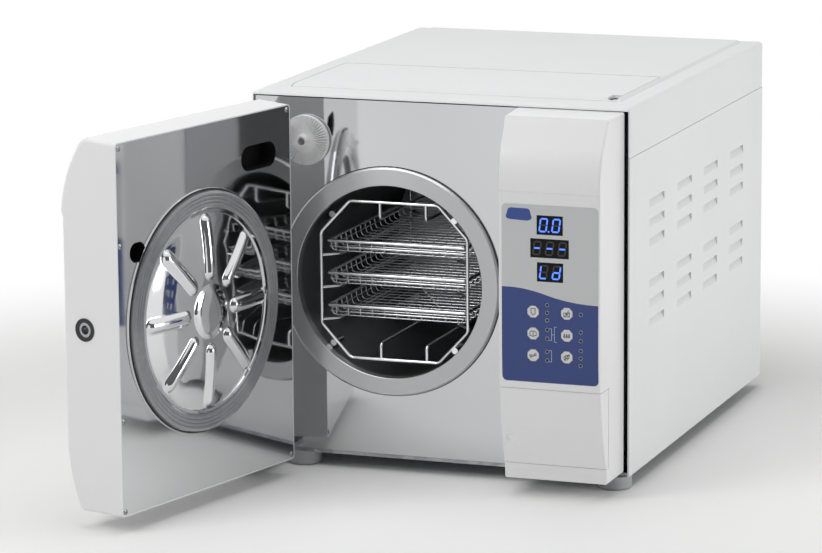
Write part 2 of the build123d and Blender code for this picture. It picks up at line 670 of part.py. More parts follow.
# Door lock: a motor-driven bolt that slides out of the control housing into the door
BOLT_RADIUS = 4.0
BOLT_TIP = 106.9
BOLT_BACK = 152.0
BUSH_NOSE = 109.2
with BuildPart() as lock_bolt:
    with BuildSketch(right.offset(BOLT_TIP)):
        with Locations((POST_Y, BOLT_Z)):
            Circle(BOLT_RADIUS)
    extrude(amount=BOLT_BACK - BOLT_TIP)
    fillet(lock_bolt.edges().group_by(Axis.X)[0], radius=3)
lock_bolt.part.label = "lock_bolt"
export_step(lock_bolt.part, "parts/lock_bolt.step")

# Lock motor: a geared motor on a plate, with the bolt's bush on its nose in the housing wall
with BuildPart() as lock_motor:
    add(slab(128, 178, -80, -49, 227, 262))
    add(slab(129, 133, -49, PANEL_FRONT, 232, 257))
    add(slab(173, 177, -49, PANEL_FRONT, 232, 257))
    add(slab(125, 181, -2, PANEL_FRONT, 222, 252))
    with BuildSketch(right.offset(BUSH_NOSE)):
        with Locations((POST_Y, BOLT_Z)):
            Circle(BUSH_RADIUS)
    extrude(amount=20)
    with BuildSketch(right.offset(114.8)):
        with Locations((POST_Y, BOLT_Z)):
            Circle(BUSH_RADIUS + 3)
    extrude(amount=3)
    with BuildSketch(right.offset(105)):
        with Locations((POST_Y, BOLT_Z)):
            Circle(BOLT_RADIUS + 0.06)
    extrude(amount=61, mode=Mode.SUBTRACT)
lock_motor.part.label = "lock_motor"
export_step(lock_motor.part, "parts/lock_motor.step")

# Air filter: a ribbed white cap with a hollow nipple, turned by hand in its socket
FILTER_RADIUS = 31.5
FILTER_RIBS = 48
with BuildPart() as air_filter:
    with BuildSketch(front.offset(-0.7)):
        with Locations((FILTER_X, FILTER_Z)):
            Circle(FILTER_RADIUS)
    extrude(amount=6.7)
    fillet(air_filter.edges().group_by(Axis.Y)[0], radius=2.5)
    with BuildSketch(front.offset(6)):
        with Locations((FILTER_X, FILTER_Z)):
            Circle(28)
    extrude(amount=3.4, taper=30)
    with BuildSketch(front.offset(5)):
        with Locations((FILTER_X, FILTER_Z)):
            with PolarLocations(18.2, FILTER_RIBS):
                Rectangle(17.6, 0.9)
    extrude(amount=5.4)
    with BuildSketch(front.offset(9)):
        with Locations((FILTER_X, FILTER_Z)):
            Circle(9.5)
    extrude(amount=2.6)
    with BuildSketch(front.offset(11.6)):
        with Locations((FILTER_X, FILTER_Z)):
            Circle(7.5)
    extrude(amount=7)
    fillet(air_filter.edges().group_by(Axis.Y)[0], radius=1)
    with BuildSketch(front.offset(19)):
        with Locations((FILTER_X, FILTER_Z)):
            Circle(4.8)
    extrude(amount=-15, mode=Mode.SUBTRACT)
    with BuildSketch(front.offset(-0.7)):
        with Locations((FILTER_X, FILTER_Z)):
            Circle(18)
    extrude(amount=-20)
air_filter.part.label = "air_filter"
export_step(air_filter.part, "parts/air_filter.step")

# Filter socket: the threaded receptacle behind the panel
with BuildPart() as filter_socket:
    with BuildSketch(front.offset(-PANEL_FRONT)):
        with Locations((FILTER_X, FILTER_Z)):
            Circle(24.5)
    extrude(amount=-26)
    with BuildSketch(front.offset(-PANEL_FRONT - THIN - 0.1)):
        with Locations((FILTER_X, FILTER_Z)):
            Circle(30)
    extrude(amount=-3)
    with BuildSketch(front.offset(-PANEL_FRONT)):
        with Locations((FILTER_X, FILTER_Z)):
            Circle(18.3)
    extrude(amount=-23, mode=Mode.SUBTRACT)
filter_socket.part.label = "filter_socket"
export_step(filter_socket.part, "parts/filter_socket.step")


# The door's own planes, turned open about its post: s runs from the hinge edge to the free
# end, t from the plate outwards, and the disc faces the other way
opened = radians(DOOR_OPEN)
along = Vector(cos(opened), -sin(opened), 0)
outward = Vector(-sin(opened), -cos(opened), 0)
door_origin = spot(POST_X, POST_Y, 0) - along * POST_S - outward * POST_T
door = Plane(origin=door_origin, x_dir=along, z_dir=outward)
door_side = Plane(origin=door_origin, x_dir=outward, z_dir=along * -1)
disc_centre = door_origin + along * DISC_S + Vector(0, 0, CHAMBER_Z)
disc_section = Plane(origin=disc_centre, x_dir=along, z_dir=(0, 0, 1))
disc_axis = Axis(disc_centre, outward * -1)
post_spot = (POST_X, POST_Y)

# Door shell: a bowed moulding with a rolled top, hollow, rimmed round the recessed plate
PLATE_THICK = 1.2
RIM = 1.5
RIM_TOP = 472.4
CATCH_T = 50.6
RING_RADIUS = 14.0
with BuildSketch() as door_outline:
    with BuildLine():
        Line((0, DOOR_BOTTOM), (58, DOOR_BOTTOM))
        ThreePointArc((58, DOOR_BOTTOM), (63.3, 24), (66, 28.5))
        ThreePointArc((66, 28.5), (78, 66), (82.5, 108))
        Line((82.5, 108), (82.5, 377))
        Line((82.5, 377), (85.2, 386))
        ThreePointArc((85.2, 386), (76, 427), (57.9, 464.8))
        ThreePointArc((57.9, 464.8), (51.8, 472), (43, 475.4))
        Line((43, 475.4), (0, RIM_TOP))
        Line((0, RIM_TOP), (0, DOOR_BOTTOM))
    make_face()
with BuildSketch() as door_inside:
    add(door_outline.sketch)
    offset(amount=-DOOR_WALL, kind=Kind.INTERSECTION, mode=Mode.REPLACE)
with BuildPart() as door_shell:
    with BuildSketch(door_side):
        add(door_outline.sketch)
    extrude(amount=-DOOR_WIDTH)
    for end in (0, -1):
        end_face = door_shell.faces().sort_by(Axis(door_origin, along))[end]
        fillet([edge for edge in end_face.edges() if (edge.center() - door_origin).dot(outward) > 1],
               radius=DOOR_EDGE)
    with BuildSketch(door_side.offset(-DOOR_WALL)):
        add(door_inside.sketch)
    extrude(amount=2 * DOOR_WALL - DOOR_WIDTH, mode=Mode.SUBTRACT)
    with BuildSketch(door):
        with Locations((DOOR_WIDTH / 2, (DOOR_BOTTOM + RIM_TOP) / 2)):
            RectangleRounded(DOOR_WIDTH - 2 * RIM, RIM_TOP - DOOR_BOTTOM - 2 * RIM, 4)
    extrude(amount=PLATE_THICK, mode=Mode.SUBTRACT)
    with BuildSketch(door):
        with Locations((DOOR_WIDTH / 2, (DOOR_BOTTOM + RIM_TOP) / 2)):
            RectangleRounded(DOOR_WIDTH - 20, RIM_TOP - DOOR_BOTTOM - 20, 6)
    extrude(amount=5, mode=Mode.SUBTRACT)
    with BuildSketch(floor.offset(DOOR_BOTTOM - 1)):
        with Locations(post_spot):
            Circle(10)
    extrude(amount=6, mode=Mode.SUBTRACT)
    with BuildSketch(door_side.offset(5 - DOOR_WIDTH)):
        with Locations((CATCH_T, BOLT_Z)):
            Circle(RING_RADIUS)
    extrude(amount=-10, mode=Mode.SUBTRACT)
door_shell.part.label = "door_shell"
export_step(door_shell.part, "parts/door_shell.step")

# Door plate: polished sheet let into the rim, holed for the disc, the filter and a plug
DISC_HOLE = 148.0
with BuildPart() as door_plate:
    with BuildSketch(door):
        with Locations((DOOR_WIDTH / 2, (DOOR_BOTTOM + RIM_TOP) / 2)):
            RectangleRounded(DOOR_WIDTH - 2 * RIM - 0.2, RIM_TOP - DOOR_BOTTOM - 2 * RIM - 0.2, 4)
        with Locations((DISC_S, CHAMBER_Z)):
            Circle(DISC_HOLE, mode=Mode.SUBTRACT)
        with Locations((67, 416.5)):
            SlotOverall(72, 31, mode=Mode.SUBTRACT)
        with Locations((312, 337)):
            SlotOverall(30, 24, mode=Mode.SUBTRACT)
    extrude(amount=PLATE_THICK)
door_plate.part.label = "door_plate"
export_step(door_plate.part, "parts/door_plate.step")

# Door screws: small pan heads that hold the plate to the shell's inner flange
SCREWS = [(345, 465), (345.4, 349), (345.4, 138), (345.4, 28), (7, 466), (5.4, 28.6)]
with BuildPart() as door_screws:
    with BuildSketch(door):
        with Locations(SCREWS):
            Circle(3.4)
    extrude(amount=-1.6)
door_screws.part.label = "door_screws"
export_step(door_screws.part, "parts/door_screws.step")

# Door disc: one turned and pressed dish, with eight rounded ribs round a domed boss
RIB_COUNT = 8
RIB_MIDDLE = 78.5
RIB_TILT = radians(3.4)
DISC_BACK = 7.0
toward = outward * -1
rib_plane = Plane(origin=disc_centre + along * RIB_MIDDLE + toward * 2.4,
                  x_dir=along * cos(RIB_TILT) - toward * sin(RIB_TILT),
                  z_dir=toward * cos(RIB_TILT) + along * sin(RIB_TILT))
with BuildPart() as disc_rib:
    with BuildSketch(rib_plane):
        SlotOverall(78, 21)
    extrude(amount=9)
    fillet(disc_rib.faces().sort_by(Axis(disc_centre, toward))[-1].edges(), radius=7.5)
with BuildPart() as disc_behind:
    with BuildSketch(disc_section):
        Polygon((0, -10), (149, -10), (149, 0), (121.5, 0), (118.5, 2.6), (85, 5.8), (44, DISC_BACK),
                (0, DISC_BACK), align=None)
    revolve(axis=disc_axis)
with BuildPart() as door_disc:
    with BuildSketch(disc_section):
        with BuildLine():
            Line((0, 5), (0, 14))
            ThreePointArc((0, 14), (11, 13.9), (22, 13.5))
            ThreePointArc((22, 13.5), (29, 12.3), (33, 8.8))
            Line((33, 8.8), (44, 8.8))
            ThreePointArc((44, 8.8), (85, 7.6), (120, 4.2))
            Polyline((120, 4.2), (121, 5.2), (124.8, 5.2), (124.8, 0.6), (147, 0.6), (147, 1.6),
                     (150, 1.6), (150, 0), (121.5, 0), (0, 5))
        make_face()
    revolve(axis=disc_axis)
    for turn in range(RIB_COUNT):
        add(disc_rib.part.rotate(disc_axis, turn * 360 / RIB_COUNT))
    add(disc_behind.part, mode=Mode.SUBTRACT)
door_disc.part.label = "door_disc"
export_step(door_disc.part, "parts/door_disc.step")

# Door gasket: a silicone ring with four fine ridges on its sealing face
GASKET = (125.4, 146.6)
GASKET_TOP = 7.7
RIDGES = 4
ridge_pitch = (GASKET[1] - GASKET[0] - 3) / RIDGES
ridge_line = []
for ridge in range(RIDGES):
    valley = GASKET[1] - 1.5 - ridge * ridge_pitch
    ridge_line += [(valley, GASKET_TOP - 1), (valley - 0.3 * ridge_pitch, GASKET_TOP),
                   (valley - 0.7 * ridge_pitch, GASKET_TOP)]
with BuildPart() as door_gasket:
    with BuildSketch(disc_section):
        Polygon((GASKET[0], 0.7), (GASKET[1], 0.7), (GASKET[1], GASKET_TOP - 2), *ridge_line,
                (GASKET[0] + 1.5, GASKET_TOP - 1), (GASKET[0], GASKET_TOP - 2), align=None)
    revolve(axis=disc_axis)
door_gasket.part.label = "door_gasket"
export_step(door_gasket.part, "parts/door_gasket.step")

# Hinge post: a steel post with a thrust collar and a keeper ring, welded to the thick bracket
# that is bolted under the base pan
POST_RADIUS = 8.0
POST_TOP = 445.0
BARREL = (40.3, 440.0)
BARREL_RADIUS = 14.0
BUSH_OUTER = 11.0
BRACKET_THICK = 6.0
with BuildPart() as hinge_post:
    with BuildSketch(floor.offset(FOOT_HEIGHT)):
        with Locations(post_spot):
            Circle(POST_RADIUS)
    extrude(amount=POST_TOP - FOOT_HEIGHT)
    with BuildSketch(floor.offset(BARREL[0] - 4.3)):
        with Locations(post_spot):
            Circle(13)
    extrude(amount=4)
    with BuildSketch(floor.offset(BARREL[1] + 0.3)):
        with Locations(post_spot):
            Circle(12)
    extrude(amount=2)
    fillet(hinge_post.edges().group_by(Axis.Z)[-1], radius=1.5)
    with BuildSketch(floor.offset(FOOT_HEIGHT - BRACKET_THICK)):
        with Locations(post_spot):
            Circle(16)
            Rectangle(32, 130, align=(Align.CENTER, Align.MIN))
    extrude(amount=BRACKET_THICK)
    with BuildSketch(floor.offset(5)):
        with Locations((POST_X, 20), (POST_X, 50)):
            Circle(3.2)
    extrude(amount=20, mode=Mode.SUBTRACT)
hinge_post.part.label = "hinge_post"
export_step(hinge_post.part, "parts/hinge_post.step")

# Hinge bushes: two bronze bushes pressed into the ends of the barrel
BUSH_LENGTH = 30.0
with BuildPart() as hinge_bushes:
    for bush_start in (BARREL[0], BARREL[1] - BUSH_LENGTH):
        with BuildSketch(floor.offset(bush_start)):
            with Locations(post_spot):
                Circle(BUSH_OUTER)
                Circle(POST_RADIUS + 0.05, mode=Mode.SUBTRACT)
        extrude(amount=BUSH_LENGTH)
hinge_bushes.part.label = "hinge_bushes"
export_step(hinge_bushes.part, "parts/hinge_bushes.step")

# Door frame: the welded yoke inside the shell, from the barrel to the disc's hub and the catch
BAR_T = 40.0
BAR_THICK = 22.0
BAR_HALF = 20.0
HUB_RADIUS = 28.0
CUP_RADIUS = 9.0
with BuildPart() as door_frame:
    with BuildSketch(floor.offset(BARREL[0])):
        with Locations(post_spot):
            Circle(BARREL_RADIUS)
    extrude(amount=BARREL[1] - BARREL[0])
    with BuildSketch(door.offset(BAR_T)):
        with Locations((187, CHAMBER_Z)):
            Rectangle(314, 2 * BAR_HALF)
        with Locations((DISC_S, CHAMBER_Z)):
            Rectangle(24, 288)
    extrude(amount=BAR_THICK)
    with BuildSketch(door.offset(BAR_T)):
        with Locations((DISC_S, CHAMBER_Z)):
            Circle(HUB_RADIUS)
    extrude(amount=-BAR_T - DISC_BACK)
    with BuildSketch(door.offset(BAR_T + BAR_THICK)):
        with Locations((DISC_S, 116), (DISC_S, 370), (60, CHAMBER_Z), (310, CHAMBER_Z)):
            Circle(6)
    extrude(amount=82.5 - DOOR_WALL - BAR_T - BAR_THICK)
    with BuildSketch(floor.offset(BARREL[0])):
        with Locations(post_spot):
            Circle(BUSH_OUTER)
    extrude(amount=BARREL[1] - BARREL[0], mode=Mode.SUBTRACT)
    with BuildSketch(door_side.offset(-330)):
        with Locations((CATCH_T, BOLT_Z)):
            Circle(CUP_RADIUS)
    extrude(amount=-20, mode=Mode.SUBTRACT)
door_frame.part.label = "door_frame"
export_step(door_frame.part, "parts/door_frame.step")

# Catch: a hardened cup in the frame's end that takes the bolt, in a rubber ring
with BuildPart() as catch_cup:
    with BuildSketch(door_side.offset(-330)):
        with Locations((CATCH_T, BOLT_Z)):
            Circle(CUP_RADIUS)
    extrude(amount=330 - DOOR_WIDTH)
    with BuildSketch(door_side.offset(-337)):
        with Locations((CATCH_T, BOLT_Z)):
            Circle(5.5)
    extrude(amount=-20, mode=Mode.SUBTRACT)
catch_cup.part.label = "catch_cup"
export_step(catch_cup.part, "parts/catch_cup.step")

with BuildPart() as catch_ring:
    with BuildSketch(door_side.offset(DOOR_WALL - DOOR_WIDTH)):
        with Locations((CATCH_T, BOLT_Z)):
            Circle(RING_RADIUS)
            Circle(CUP_RADIUS, mode=Mode.SUBTRACT)
    extrude(amount=-DOOR_WALL - 0.9)
catch_ring.part.label = "catch_ring"
export_step(catch_ring.part, "parts/catch_ring.step")

# Tray rack: two eight-sided wire loops joined by runners and by long wires turned in at both
# ends, with a short round skid on each slanted side that keeps the loops off the vessel
RACK_X = -65.0
RACK_Z = 241.0
RACK_Y = (15.0, 345.0)
WIRE = 2.2
RUNNER = 2.0
RAIL_X = 78.0
RAIL_END = 98.2
RAIL_Z = (270.0, 228.5, 187.0)
LOOP = [(58.8, 100.5), (97.6, 59), (97.6, -59), (58.8, -100.5),
        (-58.8, -100.5), (-97.6, -59), (-97.6, 59), (-58.8, 100.5)]
LONG_X = (-18.0, 43.0)
TURNED = 20.5


def rack_loop(y):
    """One closed wire loop, square to the chamber's axis."""
    with BuildPart() as ring:
        with BuildLine() as path:
            FilletPolyline(*[spot(RACK_X + x, y, RACK_Z + z) for x, z in LOOP], radius=9, close=True)
        with BuildSketch(Plane(origin=path.line @ 0, z_dir=path.line % 0)):
            Circle(WIRE)
        sweep()
    return ring.part


rack_wires = []
for side in (-1, 1):
    for rail_z in RAIL_Z:
        rack_wires.append(wire([spot(RACK_X + side * RAIL_END, RACK_Y[0] - 0.5, rail_z),
                                spot(RACK_X + side * RAIL_X, RACK_Y[0] + 17, rail_z),
                                spot(RACK_X + side * RAIL_X, RACK_Y[1] - 17, rail_z),
                                spot(RACK_X + side * RAIL_END, RACK_Y[1] + 0.5, rail_z)], RUNNER, 8))
for long_x in LONG_X:
    for level in (-1, 1):
        loop_z = RACK_Z + level * 100.5
        rack_wires.append(wire([spot(RACK_X + long_x, RACK_Y[0], loop_z),
                                spot(RACK_X + long_x, RACK_Y[0], loop_z - level * TURNED),
                                spot(RACK_X + long_x, RACK_Y[1], loop_z - level * TURNED),
                                spot(RACK_X + long_x, RACK_Y[1], loop_z)], RUNNER, 5))
rack_loops = [rack_loop(RACK_Y[0]), rack_loop(RACK_Y[1])]
SKID_RADIUS = 4.0
SKID_LENGTH = 28.0
SKID_SPOT = (81.1, 82.5)
with BuildPart() as tray_rack:
    add(rack_loops)
    add(rack_wires)
    for skid_y in (RACK_Y[0] - 3, RACK_Y[1] + 3 - SKID_LENGTH):
        with BuildSketch(front.offset(-skid_y)):
            with Locations((RACK_X, RACK_Z)):
                with GridLocations(2 * SKID_SPOT[0], 2 * SKID_SPOT[1], 2, 2):
                    Circle(SKID_RADIUS)
        extrude(amount=-SKID_LENGTH)
tray_rack.part.label = "tray_rack"
export_step(tray_rack.part, "parts/tray_rack.step")

# Trays: open stainless trays on the runners, holed in the floor and the two ends
TRAY_HALF = 94.6
TRAY_Y = (20.0, 310.0)
TRAY_HEIGHT = 17.5
TRAY_WALL = 1.0
TRAY_GAP = 0.3
for number, rail_z in enumerate(RAIL_Z, start=1):
    tray_z = rail_z + WIRE + TRAY_GAP
    with BuildPart() as tray:
        add(slab(RACK_X - TRAY_HALF, RACK_X + TRAY_HALF, *TRAY_Y, tray_z, tray_z + TRAY_HEIGHT))
        add(slab(RACK_X - TRAY_HALF + TRAY_WALL, RACK_X + TRAY_HALF - TRAY_WALL, TRAY_Y[0] + TRAY_WALL,
                 TRAY_Y[1] - TRAY_WALL, tray_z + TRAY_WALL, 400), mode=Mode.SUBTRACT)
        with BuildSketch(floor.offset(tray_z - 5)):
            with Locations((RACK_X, sum(TRAY_Y) / 2)):
                with GridLocations(36, 35.5, 5, 8):
                    RectangleRounded(29.5, 29, 3)
        extrude(amount=10, mode=Mode.SUBTRACT)
        with BuildSketch(front):
            with Locations((RACK_X, tray_z + 8.5)):
                with GridLocations(36, 1, 5, 1):
                    Rectangle(29.5, 11)
        extrude(amount=-TRAY_Y[1] - 10, mode=Mode.SUBTRACT)
    tray.part.label = f"tray_{number}"
    export_step(tray.part, f"parts/tray_{number}.step")

# Water reservoir: a two-part tank hung under the cap, open to the lid
TANK_Y = (66.0, 232.0)
TANK_Z = (402.0, 475.3)
TANK_WALL = 3.0
DIVIDER_X = 20.0
with BuildPart() as water_reservoir:
    add(slab(-203, 206, *TANK_Y, *TANK_Z))
    add(slab(-211, 214, 60, 238, TANK_Z[1] - 2.5, TANK_Z[1]))
    add(slab(-203 + TANK_WALL, DIVIDER_X - TANK_WALL / 2, TANK_Y[0] + TANK_WALL, TANK_Y[1] - TANK_WALL,
             TANK_Z[0] + TANK_WALL, 500), mode=Mode.SUBTRACT)
    add(slab(DIVIDER_X + TANK_WALL / 2, 206 - TANK_WALL, TANK_Y[0] + TANK_WALL, TANK_Y[1] - TANK_WALL,
             TANK_Z[0] + TANK_WALL, 500), mode=Mode.SUBTRACT)
water_reservoir.part.label = "water_reservoir"
export_step(water_reservoir.part, "parts/water_reservoir.step")

# Steam generator: a small boiler on its own foot, with a domed head and two fittings
BOILER = (165.0, 300.0)
with BuildPart() as steam_generator:
    with BuildSketch(floor.offset(PAN_TOP)):
        with Locations(BOILER):
            Circle(52)
    extrude(amount=4)
    with BuildSketch(floor.offset(PAN_TOP + 4)):
        with Locations(BOILER):
            Circle(42)
    extrude(amount=120)
    fillet(steam_generator.edges().group_by(Axis.Z)[-1], radius=18)
    with BuildSketch(floor.offset(PAN_TOP + 120)):
        with Locations((BOILER[0] - 14, BOILER[1]), (BOILER[0] + 14, BOILER[1])):
            Circle(6)
    extrude(amount=22)
steam_generator.part.label = "steam_generator"
export_step(steam_generator.part, "parts/steam_generator.step")

# Water pump: a small piston pump on a foot plate
with BuildPart() as water_pump:
    add(slab(130, 200, 150, 220, PAN_TOP, PAN_TOP + 3))
    add(slab(138, 170, 160, 210, PAN_TOP + 3, PAN_TOP + 48))
    with BuildSketch(right.offset(170)):
        with Locations((185, PAN_TOP + 26)):
            Circle(20)
    extrude(amount=46)
water_pump.part.label = "water_pump"
export_step(water_pump.part, "parts/water_pump.step")

# Vacuum pump: a motor between two membrane heads, on a plate with four rubber mounts
PUMP_X = -70.0
PUMP_Y = 500.0
PUMP_Z = 82.0
with BuildPart() as vacuum_pump:
    with BuildSketch(floor.offset(PAN_TOP)):
        with Locations((PUMP_X, PUMP_Y)):
            with GridLocations(170, 80, 2, 2):
                Circle(9)
    extrude(amount=14)
    add(slab(PUMP_X - 100, PUMP_X + 100, PUMP_Y - 52, PUMP_Y + 52, PAN_TOP + 14, PAN_TOP + 18))
    add(slab(PUMP_X - 45, PUMP_X + 45, PUMP_Y - 24, PUMP_Y + 24, PAN_TOP + 18, PUMP_Z))
    with BuildSketch(right.offset(PUMP_X - 60)):
        with Locations((PUMP_Y, PUMP_Z)):
            Circle(34)
    extrude(amount=120)
    for head in (-1, 1):
        with BuildSketch(right.offset(PUMP_X + head * 79 - 19)):
            with Locations((PUMP_Y, PUMP_Z + 14)):
                RectangleRounded(76, 88, 12)
        extrude(amount=38)
vacuum_pump.part.label = "vacuum_pump"
export_step(vacuum_pump.part, "parts/vacuum_pump.step")

# Condenser: finned coil on two legs, in front of the fan
COOLER_X = (74.0, 186.0)
COOLER_Y = (546.0, 578.0)
FIN_COUNT = 12
with BuildPart() as condenser:
    with BuildSketch(floor.offset(110)):
        with Locations((sum(COOLER_X) / 2, sum(COOLER_Y) / 2)):
            with GridLocations((COOLER_X[1] - COOLER_X[0]) / (FIN_COUNT - 1), 1, FIN_COUNT, 1):
                Rectangle(1.5, COOLER_Y[1] - COOLER_Y[0])
    extrude(amount=120)
    with BuildSketch(right.offset(COOLER_X[0] - 8)):
        for tube_z in (125, 155, 185, 215):
            with Locations((sum(COOLER_Y) / 2, tube_z)):
                Circle(5)
    extrude(amount=COOLER_X[1] - COOLER_X[0] + 16)
    for leg_x in (COOLER_X[0] - 0.75, COOLER_X[1] - 1.25):
        add(slab(leg_x, leg_x + 2, COOLER_Y[0] + 4, COOLER_Y[1] - 4, PAN_TOP, 112))
condenser.part.label = "condenser"
export_step(condenser.part, "parts/condenser.step")

# Valve block: a drilled manifold with four solenoid coils on top
with BuildPart() as valve_block:
    add(slab(100, 220, 400, 440, PAN_TOP, PAN_TOP + 34))
    with BuildSketch(floor.offset(PAN_TOP + 34)):
        with Locations((160, 420)):
            with GridLocations(28, 1, 4, 1):
                Circle(11)
    extrude(amount=36)
valve_block.part.label = "valve_block"
export_step(valve_block.part, "parts/valve_block.step")

# Control board: on four pillars behind the front panel
BOARD_Y = 30.0
with BuildPart() as control_board:
    with BuildSketch(front.offset(-BOARD_Y)):
        with Locations((168, 270)):
            RectangleRounded(136, 220, 3)
    extrude(amount=-1.6)
    with BuildSketch(front.offset(-PANEL_FRONT - THIN)):
        with Locations((108, 168), (228, 168), (108, 372), (228, 372)):
            Circle(3)
    extrude(amount=PANEL_FRONT + THIN - BOARD_Y)
    add(slab(130, 170, BOARD_Y + 1.6, BOARD_Y + 35, 180, 225))
    add(slab(150, 215, BOARD_Y + 1.6, BOARD_Y + 12, 260, 330))
control_board.part.label = "control_board"
export_step(control_board.part, "parts/control_board.step")

# Fan: a square frame with a hub on four struts, a seven-blade rotor and a wire guard outside
FAN_SIZE = 120.0
FAN_BACK = HOUSING_DEPTH - SHEET
FAN_DEPTH = 25.0
FAN_BORE = 56.0
HUB = 19.0
SPINDLE = 2.0
BLADES = 7
with BuildPart() as fan_frame:
    with BuildSketch(front.offset(-FAN_BACK)):
        with Locations((FAN_X, FAN_Z)):
            RectangleRounded(FAN_SIZE, FAN_SIZE, 6)
            Circle(FAN_BORE, mode=Mode.SUBTRACT)
    extrude(amount=FAN_DEPTH)
    with BuildSketch(front.offset(-FAN_BACK)):
        with Locations((FAN_X, FAN_Z)):
            Circle(HUB)
            Rectangle(2 * FAN_BORE + 2, 5)
            Rectangle(5, 2 * FAN_BORE + 2)
    extrude(amount=3.5)
    with BuildSketch(front.offset(3.5 - FAN_BACK)):
        with Locations((FAN_X, FAN_Z)):
            Circle(SPINDLE)
    extrude(amount=14)
fan_frame.part.label = "fan_frame"
export_step(fan_frame.part, "parts/fan_frame.step")

fan_centre = spot(FAN_X, FAN_BACK - 13, FAN_Z)
with BuildPart() as fan_rotor:
    with BuildSketch(front.offset(4.2 - FAN_BACK)):
        with Locations((FAN_X, FAN_Z)):
            Circle(HUB)
    extrude(amount=17)
    for blade in range(BLADES):
        turn = radians(blade * 360 / BLADES)
        radial = Vector(cos(turn), 0, sin(turn))
        sideways = Vector(-sin(turn), 0, cos(turn))
        with BuildSketch(Plane(origin=fan_centre + radial * 17, z_dir=radial,
                               x_dir=sideways * cos(radians(40)) + Vector(0, sin(radians(40)), 0))):
            Rectangle(20, 1.6)
        extrude(amount=36.5)
    with BuildSketch(front.offset(-FAN_BACK)):
        with Locations((FAN_X, FAN_Z)):
            Circle(SPINDLE + 0.06)
    extrude(amount=18.5, mode=Mode.SUBTRACT)
fan_rotor.part.label = "fan_rotor"
export_step(fan_rotor.part, "parts/fan_rotor.step")

with BuildPart() as fan_guard:
    with BuildSketch(front.offset(-HOUSING_DEPTH)):
        with Locations((FAN_X, FAN_Z)):
            for ring in (58, 44, 30, 16):
                Circle(ring)
                Circle(ring - 2, mode=Mode.SUBTRACT)
            Rectangle(114, 2.4)
            Rectangle(2.4, 114)
    extrude(amount=-2.4)
fan_guard.part.label = "fan_guard"
export_step(fan_guard.part, "parts/fan_guard.step")

# Power inlet: a bezelled module with a recessed three-pin socket and a well for the switch
SWITCH_Z = INLET_Z + 20.0
SOCKET_Z = INLET_Z - 15.0
BEZEL = 2.5
with BuildPart() as power_inlet:
    with BuildSketch(front.offset(-HOUSING_DEPTH)):
        with Locations((INLET_X, INLET_Z)):
            RectangleRounded(31, 74, 3)
    extrude(amount=-BEZEL)
    add(slab(INLET_X - 13.5, INLET_X + 13.5, HOUSING_DEPTH - 28, HOUSING_DEPTH, INLET_Z - 34.5, INLET_Z + 34.5))
    with BuildSketch(front.offset(-HOUSING_DEPTH - 5)):
        with Locations((INLET_X, SOCKET_Z)):
            Polygon((-11.5, -8), (11.5, -8), (11.5, 3), (6.5, 8), (-6.5, 8), (-11.5, 3), align=None)
        with Locations((INLET_X, SWITCH_Z)):
            Rectangle(14, 21)
    extrude(amount=21, mode=Mode.SUBTRACT)
    with BuildSketch(front.offset(-HOUSING_DEPTH + 16)):
        with Locations((INLET_X - 7, SOCKET_Z - 2), (INLET_X, SOCKET_Z + 2), (INLET_X + 7, SOCKET_Z - 2)):
            Rectangle(2, 4)
    extrude(amount=-11)
power_inlet.part.label = "power_inlet"
export_step(power_inlet.part, "parts/power_inlet.step")

# Power switch: a rocker with a stub at each side, tilted to one side of its pivot
SWITCH_TILT = 8.0
switch_pivot = spot(INLET_X, HOUSING_DEPTH, SWITCH_Z)
rocker_plane = Plane(origin=switch_pivot - Vector(6.3, 0, 0), x_dir=(0, 1, 0), z_dir=(1, 0, 0))
with BuildPart() as rocker:
    with BuildSketch(rocker_plane):
        Polygon((4.5, -9), (2.6, 0), (4.5, 9), (-4, 9), (-4, -9), align=None)
    extrude(amount=12.6)
    with BuildSketch(rocker_plane.offset(-0.5)):
        Circle(1.5)
    extrude(amount=13.6)
with BuildPart() as power_switch:
    add(rocker.part.rotate(Axis(switch_pivot, (1, 0, 0)), SWITCH_TILT))
power_switch.part.label = "power_switch"
export_step(power_switch.part, "parts/power_switch.step")

# Drain spigots: two barbed hose tails through the rear panel
with BuildPart() as drain_spigots:
    for drain in DRAIN_X:
        with BuildSketch(front.offset(-HOUSING_DEPTH + 14)):
            with Locations((drain, DRAIN_Z)):
                Circle(7.9)
        extrude(amount=-14)
        with BuildSketch(front.offset(-HOUSING_DEPTH)):
            with Locations((drain, DRAIN_Z)):
                RegularPolygon(11, 6)
        extrude(amount=-4)
        for barb in (4, 10):
            with BuildSketch(front.offset(-HOUSING_DEPTH - barb)):
                with Locations((drain, DRAIN_Z)):
                    Circle(6)
            extrude(amount=-6, taper=12)
        with BuildSketch(front.offset(-HOUSING_DEPTH + 14)):
            with Locations((drain, DRAIN_Z)):
                Circle(3)
        extrude(amount=-30, mode=Mode.SUBTRACT)
drain_spigots.part.label = "drain_spigots"
export_step(drain_spigots.part, "parts/drain_spigots.step")
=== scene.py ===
import math

import bmesh
import bpy
from mathutils import Matrix, Vector


